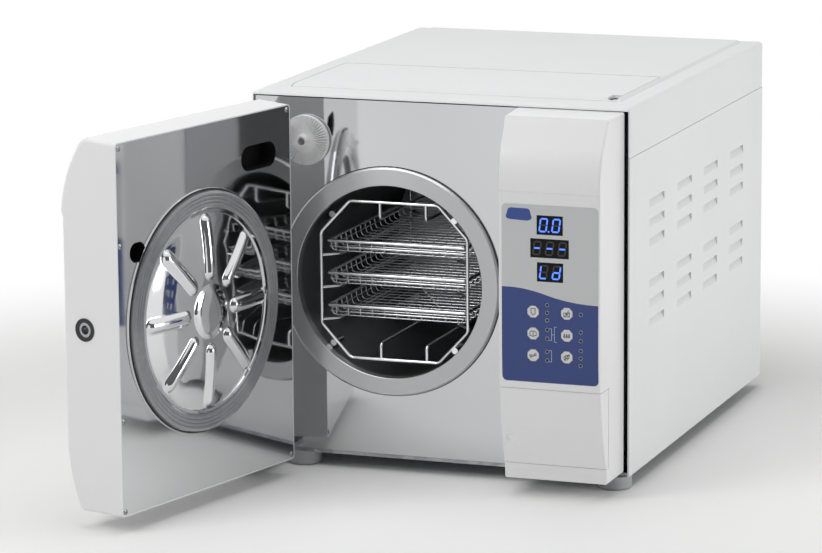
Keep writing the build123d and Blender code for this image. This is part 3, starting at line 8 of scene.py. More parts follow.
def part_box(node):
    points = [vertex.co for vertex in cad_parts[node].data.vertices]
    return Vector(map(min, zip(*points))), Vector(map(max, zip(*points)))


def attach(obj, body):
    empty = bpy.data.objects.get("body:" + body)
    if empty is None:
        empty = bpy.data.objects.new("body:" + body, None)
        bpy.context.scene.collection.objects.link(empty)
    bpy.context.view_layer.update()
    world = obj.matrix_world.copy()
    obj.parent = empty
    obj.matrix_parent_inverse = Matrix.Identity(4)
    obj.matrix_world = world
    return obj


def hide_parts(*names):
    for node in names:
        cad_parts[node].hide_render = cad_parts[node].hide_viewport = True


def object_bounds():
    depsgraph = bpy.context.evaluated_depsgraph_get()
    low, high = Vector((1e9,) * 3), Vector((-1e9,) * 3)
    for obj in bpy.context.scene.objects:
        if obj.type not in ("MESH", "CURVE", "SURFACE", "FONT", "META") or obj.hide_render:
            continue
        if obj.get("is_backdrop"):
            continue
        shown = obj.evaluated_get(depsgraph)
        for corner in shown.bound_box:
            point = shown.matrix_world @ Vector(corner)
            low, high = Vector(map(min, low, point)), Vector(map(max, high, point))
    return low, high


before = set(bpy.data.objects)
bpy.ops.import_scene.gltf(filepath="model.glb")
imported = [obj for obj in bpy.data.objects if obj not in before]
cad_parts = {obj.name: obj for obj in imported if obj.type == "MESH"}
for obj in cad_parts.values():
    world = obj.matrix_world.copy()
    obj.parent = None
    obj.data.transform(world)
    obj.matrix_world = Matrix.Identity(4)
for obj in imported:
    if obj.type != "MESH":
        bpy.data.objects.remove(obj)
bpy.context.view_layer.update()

# Camera: a long lens from the right of the open front and a little above, as in a catalogue
# photograph. Its place is in metres from the origin, its turns in degrees, its lens in mm.
CAMERA_PLACE = Vector((1.7296, -4.8232, 1.2521))
CAMERA_TURN = 20.076
CAMERA_DOWN = 11.265
CAMERA_ROLL = -0.437
LENS = 179.6
SENSOR = 36.0
turn, down, roll = (math.radians(a) for a in (CAMERA_TURN, CAMERA_DOWN, CAMERA_ROLL))
camera_data = bpy.data.cameras.new("camera")
camera_data.lens = LENS
camera_data.sensor_width = SENSOR
camera_data.clip_end = 100
camera = bpy.data.objects.new("camera", camera_data)
bpy.context.scene.collection.objects.link(camera)
camera.matrix_world = (
    Matrix.Translation(CAMERA_PLACE) @ Matrix.Rotation(turn, 4, "Z")
    @ Matrix.Rotation(math.pi / 2 - down, 4, "X") @ Matrix.Rotation(roll, 4, "Z"))
bpy.context.scene.camera = camera
bpy.context.scene.view_settings.view_transform = "Standard"

# Floor: a pale painted board, far larger than the picture, that keeps the object's shadow on its
# matt paint. Away from the object it turns plain white, but only to the camera and in mirrors.
FLOOR_HALF = 14.0
FLOOR_FADE = (0.6, 1.35)  # metres from the middle
FLOOR_COLOUR = "#F8F8F7"


def linear(colour):
    """A hex sRGB colour as linear red, green, blue and alpha."""
    parts = [int(colour[i:i + 2], 16) / 255 for i in (1, 3, 5)]
    return [p / 12.92 if p <= 0.04045 else ((p + 0.055) / 1.055) ** 2.4 for p in parts] + [1.0]


def add(tree, kind, inputs=(), **settings):
    """Adds one node: settings on the node itself, then a value or a link for each input."""
    made = tree.nodes.new(kind)
    for name, value in settings.items():
        setattr(made, name, value)
    for name, value in dict(inputs).items():
        if isinstance(value, bpy.types.NodeSocket):
            tree.links.new(value, made.inputs[name])
        else:
            made.inputs[name].default_value = value
    return made


def surface(name, colour, metallic=0.0, roughness=0.5, **more):
    """A material with even values set on its shader. More are other sockets, by their names."""
    made = bpy.data.materials.new(name)
    made.use_nodes = True
    shader = made.node_tree.nodes["Principled BSDF"]
    shader.inputs["Base Color"].default_value = linear(colour)
    shader.inputs["Metallic"].default_value = metallic
    shader.inputs["Roughness"].default_value = roughness
    for word, value in more.items():
        socket = word.replace("_", " ").title().replace("Ior", "IOR")
        shader.inputs[socket].default_value = value
    return made


floor_mesh = bmesh.new()
for x, y in ((-1, -1), (1, -1), (1, 1), (-1, 1)):
    floor_mesh.verts.new((x * FLOOR_HALF, y * FLOOR_HALF, 0))
floor_mesh.faces.new(floor_mesh.verts)
floor_data = bpy.data.meshes.new("studio_floor")
floor_mesh.to_mesh(floor_data)
floor = bpy.data.objects.new("studio_floor", floor_data)
bpy.context.scene.collection.objects.link(floor)
paint = surface("painted_floor", FLOOR_COLOUR, roughness=0.7)
floor_data.materials.append(paint)
floor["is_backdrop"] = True
floor_tree = paint.node_tree
spot = add(floor_tree, "ShaderNodeNewGeometry")
away = add(floor_tree, "ShaderNodeVectorMath", {0: spot.outputs["Position"]}, operation="LENGTH")
fade = add(floor_tree, "ShaderNodeMapRange",
           {"Value": away.outputs["Value"], "From Min": FLOOR_FADE[0], "From Max": FLOOR_FADE[1]},
           interpolation_type="SMOOTHSTEP")
path = add(floor_tree, "ShaderNodeLightPath")
looked = add(floor_tree, "ShaderNodeMath",
             {0: path.outputs["Is Camera Ray"], 1: path.outputs["Is Glossy Ray"]},
             operation="MAXIMUM")
share = add(floor_tree, "ShaderNodeMath", {0: fade.outputs[0], 1: looked.outputs[0]},
            operation="MULTIPLY")
white = add(floor_tree, "ShaderNodeEmission", {"Color": linear("#FFFFFF")})
blend = add(floor_tree, "ShaderNodeMixShader",
            {0: share.outputs[0], 1: floor_tree.nodes["Principled BSDF"].outputs[0],
             2: white.outputs[0]})
floor_tree.links.new(blend.outputs[0], floor_tree.nodes["Material Output"].inputs["Surface"])

# World: white to the camera, in mirrors and through clear plastic, as a wide white room is, and
# a dim even fill for everything else.
WORLD_FILL = 0.24
world = bpy.data.worlds.new("studio")
world.use_nodes = True
sky = world.node_tree
sky.nodes.clear()
ray = add(sky, "ShaderNodeLightPath")
seen = add(sky, "ShaderNodeMath",
           {0: ray.outputs["Is Camera Ray"], 1: ray.outputs["Is Glossy Ray"]},
           operation="MAXIMUM")
shown = add(sky, "ShaderNodeMath", {0: seen.outputs[0], 1: ray.outputs["Is Transmission Ray"]},
            operation="MAXIMUM")
level = add(sky, "ShaderNodeMapRange",
            {"Value": shown.outputs[0], "To Min": WORLD_FILL, "To Max": 1.0})
light = add(sky, "ShaderNodeBackground",
            {"Color": linear("#FFFFFF"), "Strength": level.outputs[0]})
add(sky, "ShaderNodeOutputWorld", {"Surface": light.outputs[0]})
bpy.context.scene.world = world

# Lamps: a large soft box overhead, a smaller one up in front on the left, past the open door,
# and one low on the right, beside the housing. Each row is where the lamp stands and where it
# aims, then its side, all in metres, and its power in watts.
LAMPS = {
    "overhead_box": ((0.0, -0.1, 2.6), (0.05, 0.1, 0.2), 2.2, 31),
    "front_left_box": ((-0.95, -1.75, 1.55), (0.0, -0.35, 0.25), 1.0, 16),
    "low_right_box": ((2.3, 0.2, 0.45), (0.3, 0.15, 0.1), 0.9, 15),
}
for name, (place, aim, side, power) in LAMPS.items():
    lamp_data = bpy.data.lights.new(name, "AREA")
    lamp_data.shape = "SQUARE"
    lamp_data.size = side
    lamp_data.energy = power
    lamp = bpy.data.objects.new(name, lamp_data)
    lamp.location = place
    lamp.rotation_euler = (Vector(aim) - Vector(place)).to_track_quat("-Z", "Y").to_euler()
    bpy.context.scene.collection.objects.link(lamp)

# Side card: a dark grey flag of painted board that stands on the right, out of the picture. Only
# mirrors see it, so that the sheet steel beside the hinge has something dark to show.
CARD_START = (0.53, -1.28)
CARD_END = (1.3, -0.3)
CARD_HEIGHT = 1.2
card_mesh = bmesh.new()
card_mesh.faces.new([card_mesh.verts.new(corner) for corner in (
    (*CARD_START, 0), (*CARD_END, 0), (*CARD_END, CARD_HEIGHT), (*CARD_START, CARD_HEIGHT))])
card_data = bpy.data.meshes.new("side_card")
card_mesh.to_mesh(card_data)
card = bpy.data.objects.new("side_card", card_data)
bpy.context.scene.collection.objects.link(card)
card_data.materials.append(surface("grey_card", "#6A6B6C", roughness=0.9))
card.visible_camera = False
card.visible_diffuse = False
card.visible_shadow = False
card.visible_transmission = False
card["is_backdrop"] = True

# Base pan, hinge post and condenser: hot-dip galvanised sheet, folded and spot-welded. Zinc
# freezes in flat crystals, the spangle, so its grey changes in patches some 9 mm wide. Every
# pattern size is in millimetres, and a texture's scale is how many of it make a metre.
SPANGLE = 9.0
PER_METRE = 1000.0


def dress(material, *names):
    """Gives CAD nodes their finish."""
    for name in names:
        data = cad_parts[name].data
        data.materials.clear()
        data.materials.append(material)


def place_in(tree, share=(1, 1, 1)):
    """The object's own coordinates in metres. A share below 1 draws a pattern out that way."""
    own = add(tree, "ShaderNodeTexCoord")
    drawn_out = add(tree, "ShaderNodeMapping", {"Vector": own.outputs["Object"], "Scale": share})
    return drawn_out.outputs[0]


def shift_colour(material, factor, low, high):
    """Colours the surface between two hex colours by a factor from 0 to 1."""
    tree = material.node_tree
    mix = add(tree, "ShaderNodeMix", {"Factor": factor, 6: linear(low), 7: linear(high)},
              data_type="RGBA")
    tree.links.new(mix.outputs[2], tree.nodes["Principled BSDF"].inputs["Base Color"])


def shift_gloss(material, factor, low, high):
    """Sets the roughness between two values by a factor from 0 to 1."""
    tree = material.node_tree
    wear = add(tree, "ShaderNodeMapRange", {"Value": factor, "To Min": low, "To Max": high})
    tree.links.new(wear.outputs[0], tree.nodes["Principled BSDF"].inputs["Roughness"])


galvanised = surface("galvanised_sheet", "#9EA2A6", metallic=1, roughness=0.38)
zinc = galvanised.node_tree
crystal = add(zinc, "ShaderNodeTexVoronoi",
              {"Vector": place_in(zinc), "Scale": PER_METRE / SPANGLE})
shift_colour(galvanised, crystal.outputs["Color"], "#84898E", "#B4B8BC")
shift_gloss(galvanised, crystal.outputs["Distance"], 0.3, 0.5)
dress(galvanised, "base_pan", "condenser", "hinge_post")

# Feet: injection-moulded grey thermoplastic cups, screwed up into the pan, with the matt grain
# of an eroded mould. The real grain is under 0.1 mm and is drawn coarser, so that it shows.
MOULD_GRAIN = 0.9
MM = 0.001


def relief(material, height, depth):
    """Raises the surface by a height from 0 to 1, depth millimetres deep."""
    tree = material.node_tree
    bump = add(tree, "ShaderNodeBump", {"Height": height, "Distance": depth * MM})
    tree.links.new(bump.outputs[0], tree.nodes["Principled BSDF"].inputs["Normal"])


grey_plastic = surface("moulded_grey_plastic", "#A6A8AA", roughness=0.55)
grain = add(grey_plastic.node_tree, "ShaderNodeTexNoise",
            {"Vector": place_in(grey_plastic.node_tree), "Scale": PER_METRE / MOULD_GRAIN,
             "Detail": 2.0})
relief(grey_plastic, grain.outputs["Fac"], 0.03)
shift_gloss(grey_plastic, grain.outputs["Fac"], 0.5, 0.62)
dress(grey_plastic, "feet")

# Side panels, rear panel, cap and tank lid: folded steel sheet under white polyester powder,
# baked on. It flows out satin, with a low orange peel about 3 mm across, and its film is a
# little thicker in some places than in others, in soft patches a hand wide.
PEEL = 3.2
FILM_PATCH = 166.7
powder = surface("white_powder_coat", "#E4E5E6", roughness=0.42, coat_weight=0.12,
                 coat_roughness=0.3)
coat = powder.node_tree
peel = add(coat, "ShaderNodeTexNoise",
           {"Vector": place_in(coat), "Scale": PER_METRE / PEEL, "Detail": 3.0})
mottle = add(coat, "ShaderNodeTexNoise",
             {"Vector": place_in(coat), "Scale": PER_METRE / FILM_PATCH, "Detail": 2.0})
relief(powder, peel.outputs["Fac"], 0.035)
shift_colour(powder, mottle.outputs["Fac"], "#E1E2E3", "#E8E8E9")
shift_gloss(powder, peel.outputs["Fac"], 0.38, 0.48)
dress(powder, "left_side_panel", "right_side_panel", "rear_panel", "top_cover", "tank_lid")

# Front panel: stainless sheet, polished on a belt from top to bottom and folded back at its
# edges. The belt leaves fine upright lines, drawn coarser than they are, and slow waves, so it
# mirrors large shapes with slightly blurred edges.
BELT_LINE = 0.7
BELT_DRAW = 0.004
BELT_WAVE = 200.0
polished = surface("belt_polished_stainless", "#C9CACB", metallic=1, roughness=0.05)
belt = polished.node_tree
lines = add(belt, "ShaderNodeTexNoise",
            {"Vector": place_in(belt, (1, 1, BELT_DRAW)), "Scale": PER_METRE / BELT_LINE,
             "Detail": 2.0})
waves = add(belt, "ShaderNodeTexNoise",
            {"Vector": place_in(belt), "Scale": PER_METRE / BELT_WAVE, "Detail": 0.0})
shift_gloss(polished, lines.outputs["Fac"], 0.03, 0.07)
shift_colour(polished, waves.outputs["Fac"], "#BFC0C2", "#CFD0D1")
relief(polished, lines.outputs["Fac"], 0.0015)
dress(polished, "front_panel")

# Chamber: a deep-drawn stainless vessel, welded to its flange, pickled and electropolished
# inside. It keeps faint rings from the drawing and clouds from the bath, and has a darker and
# softer gloss than the sheet round it.
DRAW_RING = 4.0
BATH_CLOUD = 71.4
CHAMBER_LOW, CHAMBER_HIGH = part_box("chamber")
CHAMBER_MIDDLE = (CHAMBER_LOW + CHAMBER_HIGH) / 2


def turned_rings(material, pitch, centre, axis):
    """Rings round an axis: an even wave by the distance from it, pitch millimetres apart."""
    tree = material.node_tree
    own = add(tree, "ShaderNodeTexCoord")
    out = add(tree, "ShaderNodeVectorMath", {0: own.outputs["Object"], 1: centre},
              operation="SUBTRACT")
    along = add(tree, "ShaderNodeVectorMath", {0: out.outputs[0], 1: axis}, operation="PROJECT")
    flat = add(tree, "ShaderNodeVectorMath", {0: out.outputs[0], 1: along.outputs[0]},
               operation="SUBTRACT")
    reach = add(tree, "ShaderNodeVectorMath", {0: flat.outputs[0]}, operation="LENGTH")
    turns = add(tree, "ShaderNodeMath",
                {0: reach.outputs["Value"], 1: 2 * math.pi * PER_METRE / pitch},
                operation="MULTIPLY")
    wave = add(tree, "ShaderNodeMath", {0: turns.outputs[0]}, operation="SINE")
    share_up = add(tree, "ShaderNodeMapRange", {"Value": wave.outputs[0], "From Min": -1.0})
    return share_up.outputs[0]


drawn = surface("electropolished_vessel", "#8B8D8F", metallic=1, roughness=0.3)
vessel = drawn.node_tree
cloud = add(vessel, "ShaderNodeTexNoise",
            {"Vector": place_in(vessel), "Scale": PER_METRE / BATH_CLOUD, "Detail": 4.0})
shift_gloss(drawn, cloud.outputs["Fac"], 0.24, 0.38)
shift_colour(drawn, cloud.outputs["Fac"], "#7C7E80", "#96989A")
relief(drawn, turned_rings(drawn, DRAW_RING, CHAMBER_MIDDLE, (0, 1, 0)), 0.01)
dress(drawn, "chamber")

# Heater band, pumps, boiler, door frame, hinge pins, lock motor and fan guard: stock parts of
# stainless and aluminium, bolted on as they come from the mill, dull and slightly streaked.
STREAK = 2.5
STREAK_DRAW = 0.05
mill = surface("mill_finished_metal", "#A9ABAD", metallic=1, roughness=0.42)
streaks = add(mill.node_tree, "ShaderNodeTexNoise",
              {"Vector": place_in(mill.node_tree, (1, 1, STREAK_DRAW)),
               "Scale": PER_METRE / STREAK, "Detail": 3.0})
shift_gloss(mill, streaks.outputs["Fac"], 0.34, 0.52)
shift_colour(mill, streaks.outputs["Fac"], "#9C9EA0", "#B2B4B6")
dress(mill, "heater_band", "steam_generator", "water_pump", "vacuum_pump", "lock_motor",
      "hinge_pins", "door_frame", "fan_guard")

# Insulation: needled felt of glass and wool, wrapped and stitched round the vessel. It is matt
# and uneven, with tangled tufts of fibre standing out of it.
FIBRE = 1.6
felt = surface("needled_felt", "#CFCCC2", roughness=0.95, sheen_weight=0.3)
wool = felt.node_tree
fibres = add(wool, "ShaderNodeTexNoise",
             {"Vector": place_in(wool), "Scale": PER_METRE / FIBRE, "Detail": 6.0,
              "Distortion": 1.5})
shift_colour(felt, fibres.outputs["Fac"], "#B7B4AA", "#DEDBD2")
relief(felt, fibres.outputs["Fac"], 0.6)
dress(felt, "insulation")

# Control housing, service bay and cover, and door shell: white ABS, injection moulded and
# screwed on from behind. It is smoother and glossier than the powder coat, with only a breath
# of grain from the mould, drawn coarser than it is.
ABS_GRAIN = 1.4
moulded = surface("white_moulded_abs", "#EAEAEB", roughness=0.3, coat_weight=0.15,
                  coat_roughness=0.12)
abs_tree = moulded.node_tree
mould = add(abs_tree, "ShaderNodeTexNoise",
            {"Vector": place_in(abs_tree), "Scale": PER_METRE / ABS_GRAIN, "Detail": 2.0})
relief(moulded, mould.outputs["Fac"], 0.012)
shift_gloss(moulded, mould.outputs["Fac"], 0.26, 0.34)
dress(moulded, "fascia_housing", "service_cover", "door_shell", "service_bay")

# Drains behind the service cover, with the valve block and the spigots on the back: turned
# brass, screwed in, with blue moulded lever handles on the taps. The brass tarnishes in small
# darker clouds where it is handled.
TARNISH = 16.7
brass = surface("turned_brass", "#C9A65A", metallic=1, roughness=0.28)
tarnish = add(brass.node_tree, "ShaderNodeTexNoise",
              {"Vector": place_in(brass.node_tree), "Scale": PER_METRE / TARNISH,
               "Detail": 3.0})
shift_colour(brass, tarnish.outputs["Fac"], "#B8934A", "#D6B66C")
shift_gloss(brass, tarnish.outputs["Fac"], 0.22, 0.38)
dress(brass, "drain_couplings", "valve_block", "drain_spigots")
tap_plastic = surface("blue_moulded_nylon", "#2B4F9E", roughness=0.4)
tap_grain = add(tap_plastic.node_tree, "ShaderNodeTexNoise",
                {"Vector": place_in(tap_plastic.node_tree), "Scale": PER_METRE / MOULD_GRAIN})
relief(tap_plastic, tap_grain.outputs["Fac"], 0.03)
dress(tap_plastic, "drain_tap_left", "drain_tap_right")

# Circuit boards: glass laminate under green solder mask, held on pillars. Copper tracks show
# through the mask as slightly lighter lines. The pattern's unit is 40 mm, which makes fields of
# 20 by 10 mm between the tracks.
TRACK_UNIT = 40.0
board = surface("green_circuit_board", "#1E6B3C", roughness=0.35)
tracks = add(board.node_tree, "ShaderNodeTexBrick",
             {"Vector": place_in(board.node_tree), "Scale": PER_METRE / TRACK_UNIT,
              "Color1": linear("#1B6136"), "Color2": linear("#1F6B3E"),
              "Mortar": linear("#3F9460")})
board.node_tree.links.new(tracks.outputs["Color"],
                          board.node_tree.nodes["Principled BSDF"].inputs["Base Color"])
dress(board, "control_board", "switch_board")

# Control overlay: polyester film, printed from behind and stuck in the moulding. It is silver
# grey above and blue below a wavy edge, and the velvet grain of its face is drawn coarser than
# it is.
HOUSING_MIDDLE = (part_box("left_side_panel")[0].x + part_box("right_side_panel")[1].x) / 2
HOUSING_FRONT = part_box("right_side_panel")[0].y
# The wavy edge as (x, z) in millimetres, from the housing's middle and from the bench
WAVE = ((117.3, 268.5), (135.0, 268.0), (153.9, 265.2), (189.5, 256.2), (214.0, 252.4),
        (237.6, 251.1))
WAVE_LOW, WAVE_HIGH = 240.0, 280.0
VELVET = 0.8
FILM_GREY = "#C6C7C8"
FILM_BLUE = "#1D3778"
film = surface("printed_polyester_film", FILM_GREY, roughness=0.3, coat_weight=0.2)
print_tree = film.node_tree
own_place = add(print_tree, "ShaderNodeSeparateXYZ", {"Vector": place_in(print_tree)})
span = [HOUSING_MIDDLE + x * MM for x in (WAVE[0][0], WAVE[-1][0])]
across = add(print_tree, "ShaderNodeMapRange",
             {"Value": own_place.outputs["X"], "From Min": span[0], "From Max": span[1]})
wave_curve = add(print_tree, "ShaderNodeFloatCurve", {"Value": across.outputs[0]})
points = wave_curve.mapping.curves[0].points
for number, (x, z) in enumerate(WAVE):
    knot = ((x - WAVE[0][0]) / (WAVE[-1][0] - WAVE[0][0]),
            (z - WAVE_LOW) / (WAVE_HIGH - WAVE_LOW))
    if 0 < number < len(WAVE) - 1:
        points.new(*knot)
    else:
        points[0 if number == 0 else -1].location = knot
wave_curve.mapping.update()
edge = add(print_tree, "ShaderNodeMapRange",
           {"Value": wave_curve.outputs[0], "To Min": WAVE_LOW * MM, "To Max": WAVE_HIGH * MM})
below = add(print_tree, "ShaderNodeMath", {0: own_place.outputs["Z"], 1: edge.outputs[0]},
            operation="LESS_THAN")
shift_colour(film, below.outputs[0], FILM_GREY, FILM_BLUE)
velvet = add(print_tree, "ShaderNodeTexNoise",
             {"Vector": place_in(print_tree), "Scale": PER_METRE / VELVET, "Detail": 1.0})
relief(film, velvet.outputs["Fac"], 0.01)
dress(film, "control_overlay")

# Display windows: three panes of smoked acrylic, pressed into holes in the film, almost black
# and glossy, with a faint haze from wiping.
# Each is its left, right, low and high edge
WINDOWS = ((160.0, 193.3, 334.6, 358.4), (152.0, 200.9, 306.3, 329.7),
           (160.4, 193.7, 276.9, 300.7))
WIPED_HAZE = 11.1
smoked = surface("smoked_acrylic", "#07080A", roughness=0.12, specular_ior_level=0.15)
haze = add(smoked.node_tree, "ShaderNodeTexNoise",
           {"Vector": place_in(smoked.node_tree), "Scale": PER_METRE / WIPED_HAZE,
            "Detail": 2.0})
shift_gloss(smoked, haze.outputs["Fac"], 0.09, 0.16)
dress(smoked, "display_windows")

# Digits: seven-segment light-emitting displays, soldered on the board and seen through the
# panes. Lit bars are blue and shine, and the others show as dull brown bars in the black face.
# The cloud of the bars' diffuser is drawn coarser than it is.
PANE_FACE = 96.74  # how far the panes stand in front of the housing
PANE_MARGIN = 0.5
DIGIT_WIDTH = 8.6
DIGIT_HEIGHT = 15.6
SLANT = 0.14
BAR = 1.9
BAR_THICK = 0.04
BAR_INSET, BAR_TIP = 0.6, 0.45  # shares of a bar's width
DOT_SHIFT = 1.4
DOT_RADIUS = 1.1
DOT_SIDES = 8
DIFFUSER = 3.3
BARS = {
    "a": ((0, 2), (1, 2)), "b": ((1, 2), (1, 1)), "c": ((1, 1), (1, 0)), "d": ((0, 0), (1, 0)),
    "e": ((0, 1), (0, 0)), "f": ((0, 2), (0, 1)), "g": ((0, 1), (1, 1)),
}
READINGS = (("abcdef", "abcdef"), ("g", "g", "g"), ("def", "bcdeg"))


def at(x, y, z):
    """A point given in millimetres from the housing's middle and front edge, as a vector."""
    return Vector((HOUSING_MIDDLE + x * MM, HOUSING_FRONT + y * MM, z * MM))


def piece(name, mesh, material, body, smooth=True, crease=50):
    """Makes one piece of a mesh, gives it its finish and joins it to a body."""
    data = bpy.data.meshes.new(name)
    mesh.normal_update()
    mesh.to_mesh(data)
    mesh.free()
    data.materials.append(material)
    for face in data.polygons:
        face.use_smooth = smooth
    if smooth:
        data.set_sharp_from_angle(angle=math.radians(crease))
    made = bpy.data.objects.new(name, data)
    bpy.context.scene.collection.objects.link(made)
    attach(made, body)
    return made


def plate(mesh, outline, front, thick):
    """A flat plate with its face to the front, from (x, z) points going round it."""
    faces = []
    for y in (-front, -front + thick):
        faces.append([mesh.verts.new(at(x, y, z)) for x, z in outline])
    mesh.faces.new(faces[0])
    mesh.faces.new(reversed(faces[1]))
    for here, (a, b) in enumerate(zip(faces[0], faces[1])):
        after = (here + 1) % len(outline)
        mesh.faces.new((a, b, faces[1][after], faces[0][after]))


def bar(mesh, start, end):
    """One bar of a digit, with pointed ends, between two (x, z) points."""
    ahead = (Vector(end) - Vector(start)).normalized()
    side = Vector((-ahead.y, ahead.x)) * BAR / 2
    inset, tip = ahead * BAR * BAR_INSET, ahead * BAR * BAR_TIP
    near, far = Vector(start) + inset, Vector(end) - inset
    outline = [near - tip, near - side, far - side, far + tip, far + side, near + side]
    plate(mesh, [tuple(p) for p in outline], PANE_FACE, BAR_THICK)


def angles(count):
    """A full turn in equal steps, in radians."""
    return [2 * math.pi * n / count for n in range(count)]


lit, unlit = bmesh.new(), bmesh.new()
for (left, right, low, high), reading in zip(WINDOWS, READINGS):
    pitch = (right - left - 2 * PANE_MARGIN) / len(reading)
    for digit, bars in enumerate(reading):
        corner_x = left + PANE_MARGIN + pitch * (digit + 0.5) - DIGIT_WIDTH / 2
        corner_z = (low + high) / 2 - DIGIT_HEIGHT / 2
        for name, ends in BARS.items():
            start, end = [(corner_x + u * DIGIT_WIDTH + (v - 1) * DIGIT_HEIGHT / 2 * SLANT,
                           corner_z + v * DIGIT_HEIGHT / 2) for u, v in ends]
            bar(lit if name in bars else unlit, start, end)
dot_x = (WINDOWS[0][0] + WINDOWS[0][1]) / 2 - DOT_SHIFT
dot_z = (WINDOWS[0][2] + WINDOWS[0][3]) / 2 - DIGIT_HEIGHT / 2
plate(lit, [(dot_x + DOT_RADIUS * math.cos(a), dot_z + DOT_RADIUS * math.sin(a))
            for a in angles(DOT_SIDES)], PANE_FACE, BAR_THICK)
glow = surface("lit_blue_diode", "#4D74FF", roughness=0.4, emission_color=linear("#4C78FF"),
               emission_strength=1.35)
core = add(glow.node_tree, "ShaderNodeTexNoise",
           {"Vector": place_in(glow.node_tree), "Scale": PER_METRE / DIFFUSER, "Detail": 0.0})
shift_gloss(glow, core.outputs["Fac"], 0.35, 0.45)
dull = surface("unlit_diode", "#2A2622", roughness=0.5)
dull_core = add(dull.node_tree, "ShaderNodeTexNoise",
                {"Vector": place_in(dull.node_tree), "Scale": PER_METRE / DIFFUSER,
                 "Detail": 0.0})
shift_colour(dull, dull_core.outputs["Fac"], "#25211D", "#302B26")
piece("lit_bars", lit, glow, "housing", smooth=False)
piece("unlit_bars", unlit, dull, "housing", smooth=False)

# Print on the film: screen ink, laid on in turn and dried. It gives a black spot with a thin
# pale ring round each small lamp, brackets that join the lamps of one programme, and a plain
# blue field with a light edge. Its grain, the screen's mesh, is drawn coarser than it is.
FILM_FACE = 96.86
INK_LAYER = 0.01
INK_THICK = 0.03
INK_LAP = 0.6  # how far one run of a line laps over the next, as a share of half its width
INK_GRAIN = 0.8
LAMP_LEFT = [(173.4, z) for z in (248.5, 239.1, 229.7, 218.0, 207.0, 190.8, 180.0)]
LAMP_RIGHT = [(216.0, z) for z in (239.2, 217.4, 206.6, 194.5, 185.2, 176.1)]
SPOT_INNER, SPOT_OUTER, RING_OUTER = 1.2, 2.0, 2.35
RING_SIDES = 24
BRACKET_LINE = 0.5
BRACKETS = (
    ((176.2, 205.0), (179.0, 205.0), (179.0, 219.5), (176.2, 219.5)),
    ((176.2, 178.6), (179.0, 178.6), (179.0, 192.4), (176.2, 192.4)),
    ((179.0, 212.2), (182.6, 212.2), (182.6, 222.0), (185.4, 222.0)),
    ((182.6, 212.2), (182.6, 203.0), (185.4, 203.0)),
)
FIELD_LINE = 0.6
FIELD = ((120.3, 355.0), (122.0, 352.6), (126.0, 351.5), (148.0, 350.6), (152.6, 352.0),
         (154.2, 355.0), (151.4, 364.4), (148.8, 366.2), (127.0, 366.6), (123.4, 365.0))


def strip(mesh, line, width, front):
    """A printed line of even width along (x, z) points, one small plate for each run."""
    for start, end in zip(line, line[1:]):
        ahead = (Vector(end) - Vector(start)).normalized() * width / 2
        side = Vector((-ahead.y, ahead.x))
        a, b = Vector(start) - ahead * INK_LAP, Vector(end) + ahead * INK_LAP
        plate(mesh, [tuple(p) for p in (a - side, b - side, b + side, a + side)], front,
              INK_THICK)


def ring(mesh, x, z, inner, outer, front):
    """A flat printed ring round a point on the panel."""
    rims = [[mesh.verts.new(at(x + r * math.cos(a), -front, z + r * math.sin(a)))
             for a in angles(RING_SIDES)] for r in (inner, outer)]
    for n in range(RING_SIDES):
        after = (n + 1) % RING_SIDES
        mesh.faces.new((rims[0][n], rims[1][n], rims[1][after], rims[0][after]))


pale, black = bmesh.new(), bmesh.new()
for lamp_x, lamp_z in LAMP_LEFT + LAMP_RIGHT:
    ring(pale, lamp_x, lamp_z, SPOT_OUTER, RING_OUTER, FILM_FACE)
    ring(black, lamp_x, lamp_z, SPOT_INNER, SPOT_OUTER, FILM_FACE + INK_LAYER)
for bracket in BRACKETS:
    strip(pale, bracket, BRACKET_LINE, FILM_FACE)
strip(pale, [*FIELD, FIELD[0]], FIELD_LINE, FILM_FACE + 2 * INK_LAYER)
pale_ink = surface("pale_screen_ink", "#C9CED8", roughness=0.45)
pale_grain = add(pale_ink.node_tree, "ShaderNodeTexNoise",
                 {"Vector": place_in(pale_ink.node_tree), "Scale": PER_METRE / INK_GRAIN})
shift_colour(pale_ink, pale_grain.outputs["Fac"], "#BEC4D0", "#D3D7DF")
piece("pale_print", pale, pale_ink, "housing", smooth=False)
black_ink = surface("black_screen_ink", "#0B0C10", roughness=0.4, specular_ior_level=0.3)
black_grain = add(black_ink.node_tree, "ShaderNodeTexNoise",
                  {"Vector": place_in(black_ink.node_tree), "Scale": PER_METRE / INK_GRAIN})
shift_colour(black_ink, black_grain.outputs["Fac"], "#090A0D", "#101218")
piece("black_spots", black, black_ink, "housing", smooth=False)
blue = bmesh.new()
plate(blue, FIELD, FILM_FACE, INK_THICK)
blue_ink = surface("blue_screen_ink", "#2B468C", roughness=0.35)
blue_grain = add(blue_ink.node_tree, "ShaderNodeTexNoise",
                 {"Vector": place_in(blue_ink.node_tree), "Scale": PER_METRE / INK_GRAIN})
shift_colour(blue_ink, blue_grain.outputs["Fac"], "#284288", "#304B94")
piece("blue_field", blue, blue_ink, "housing", smooth=False)

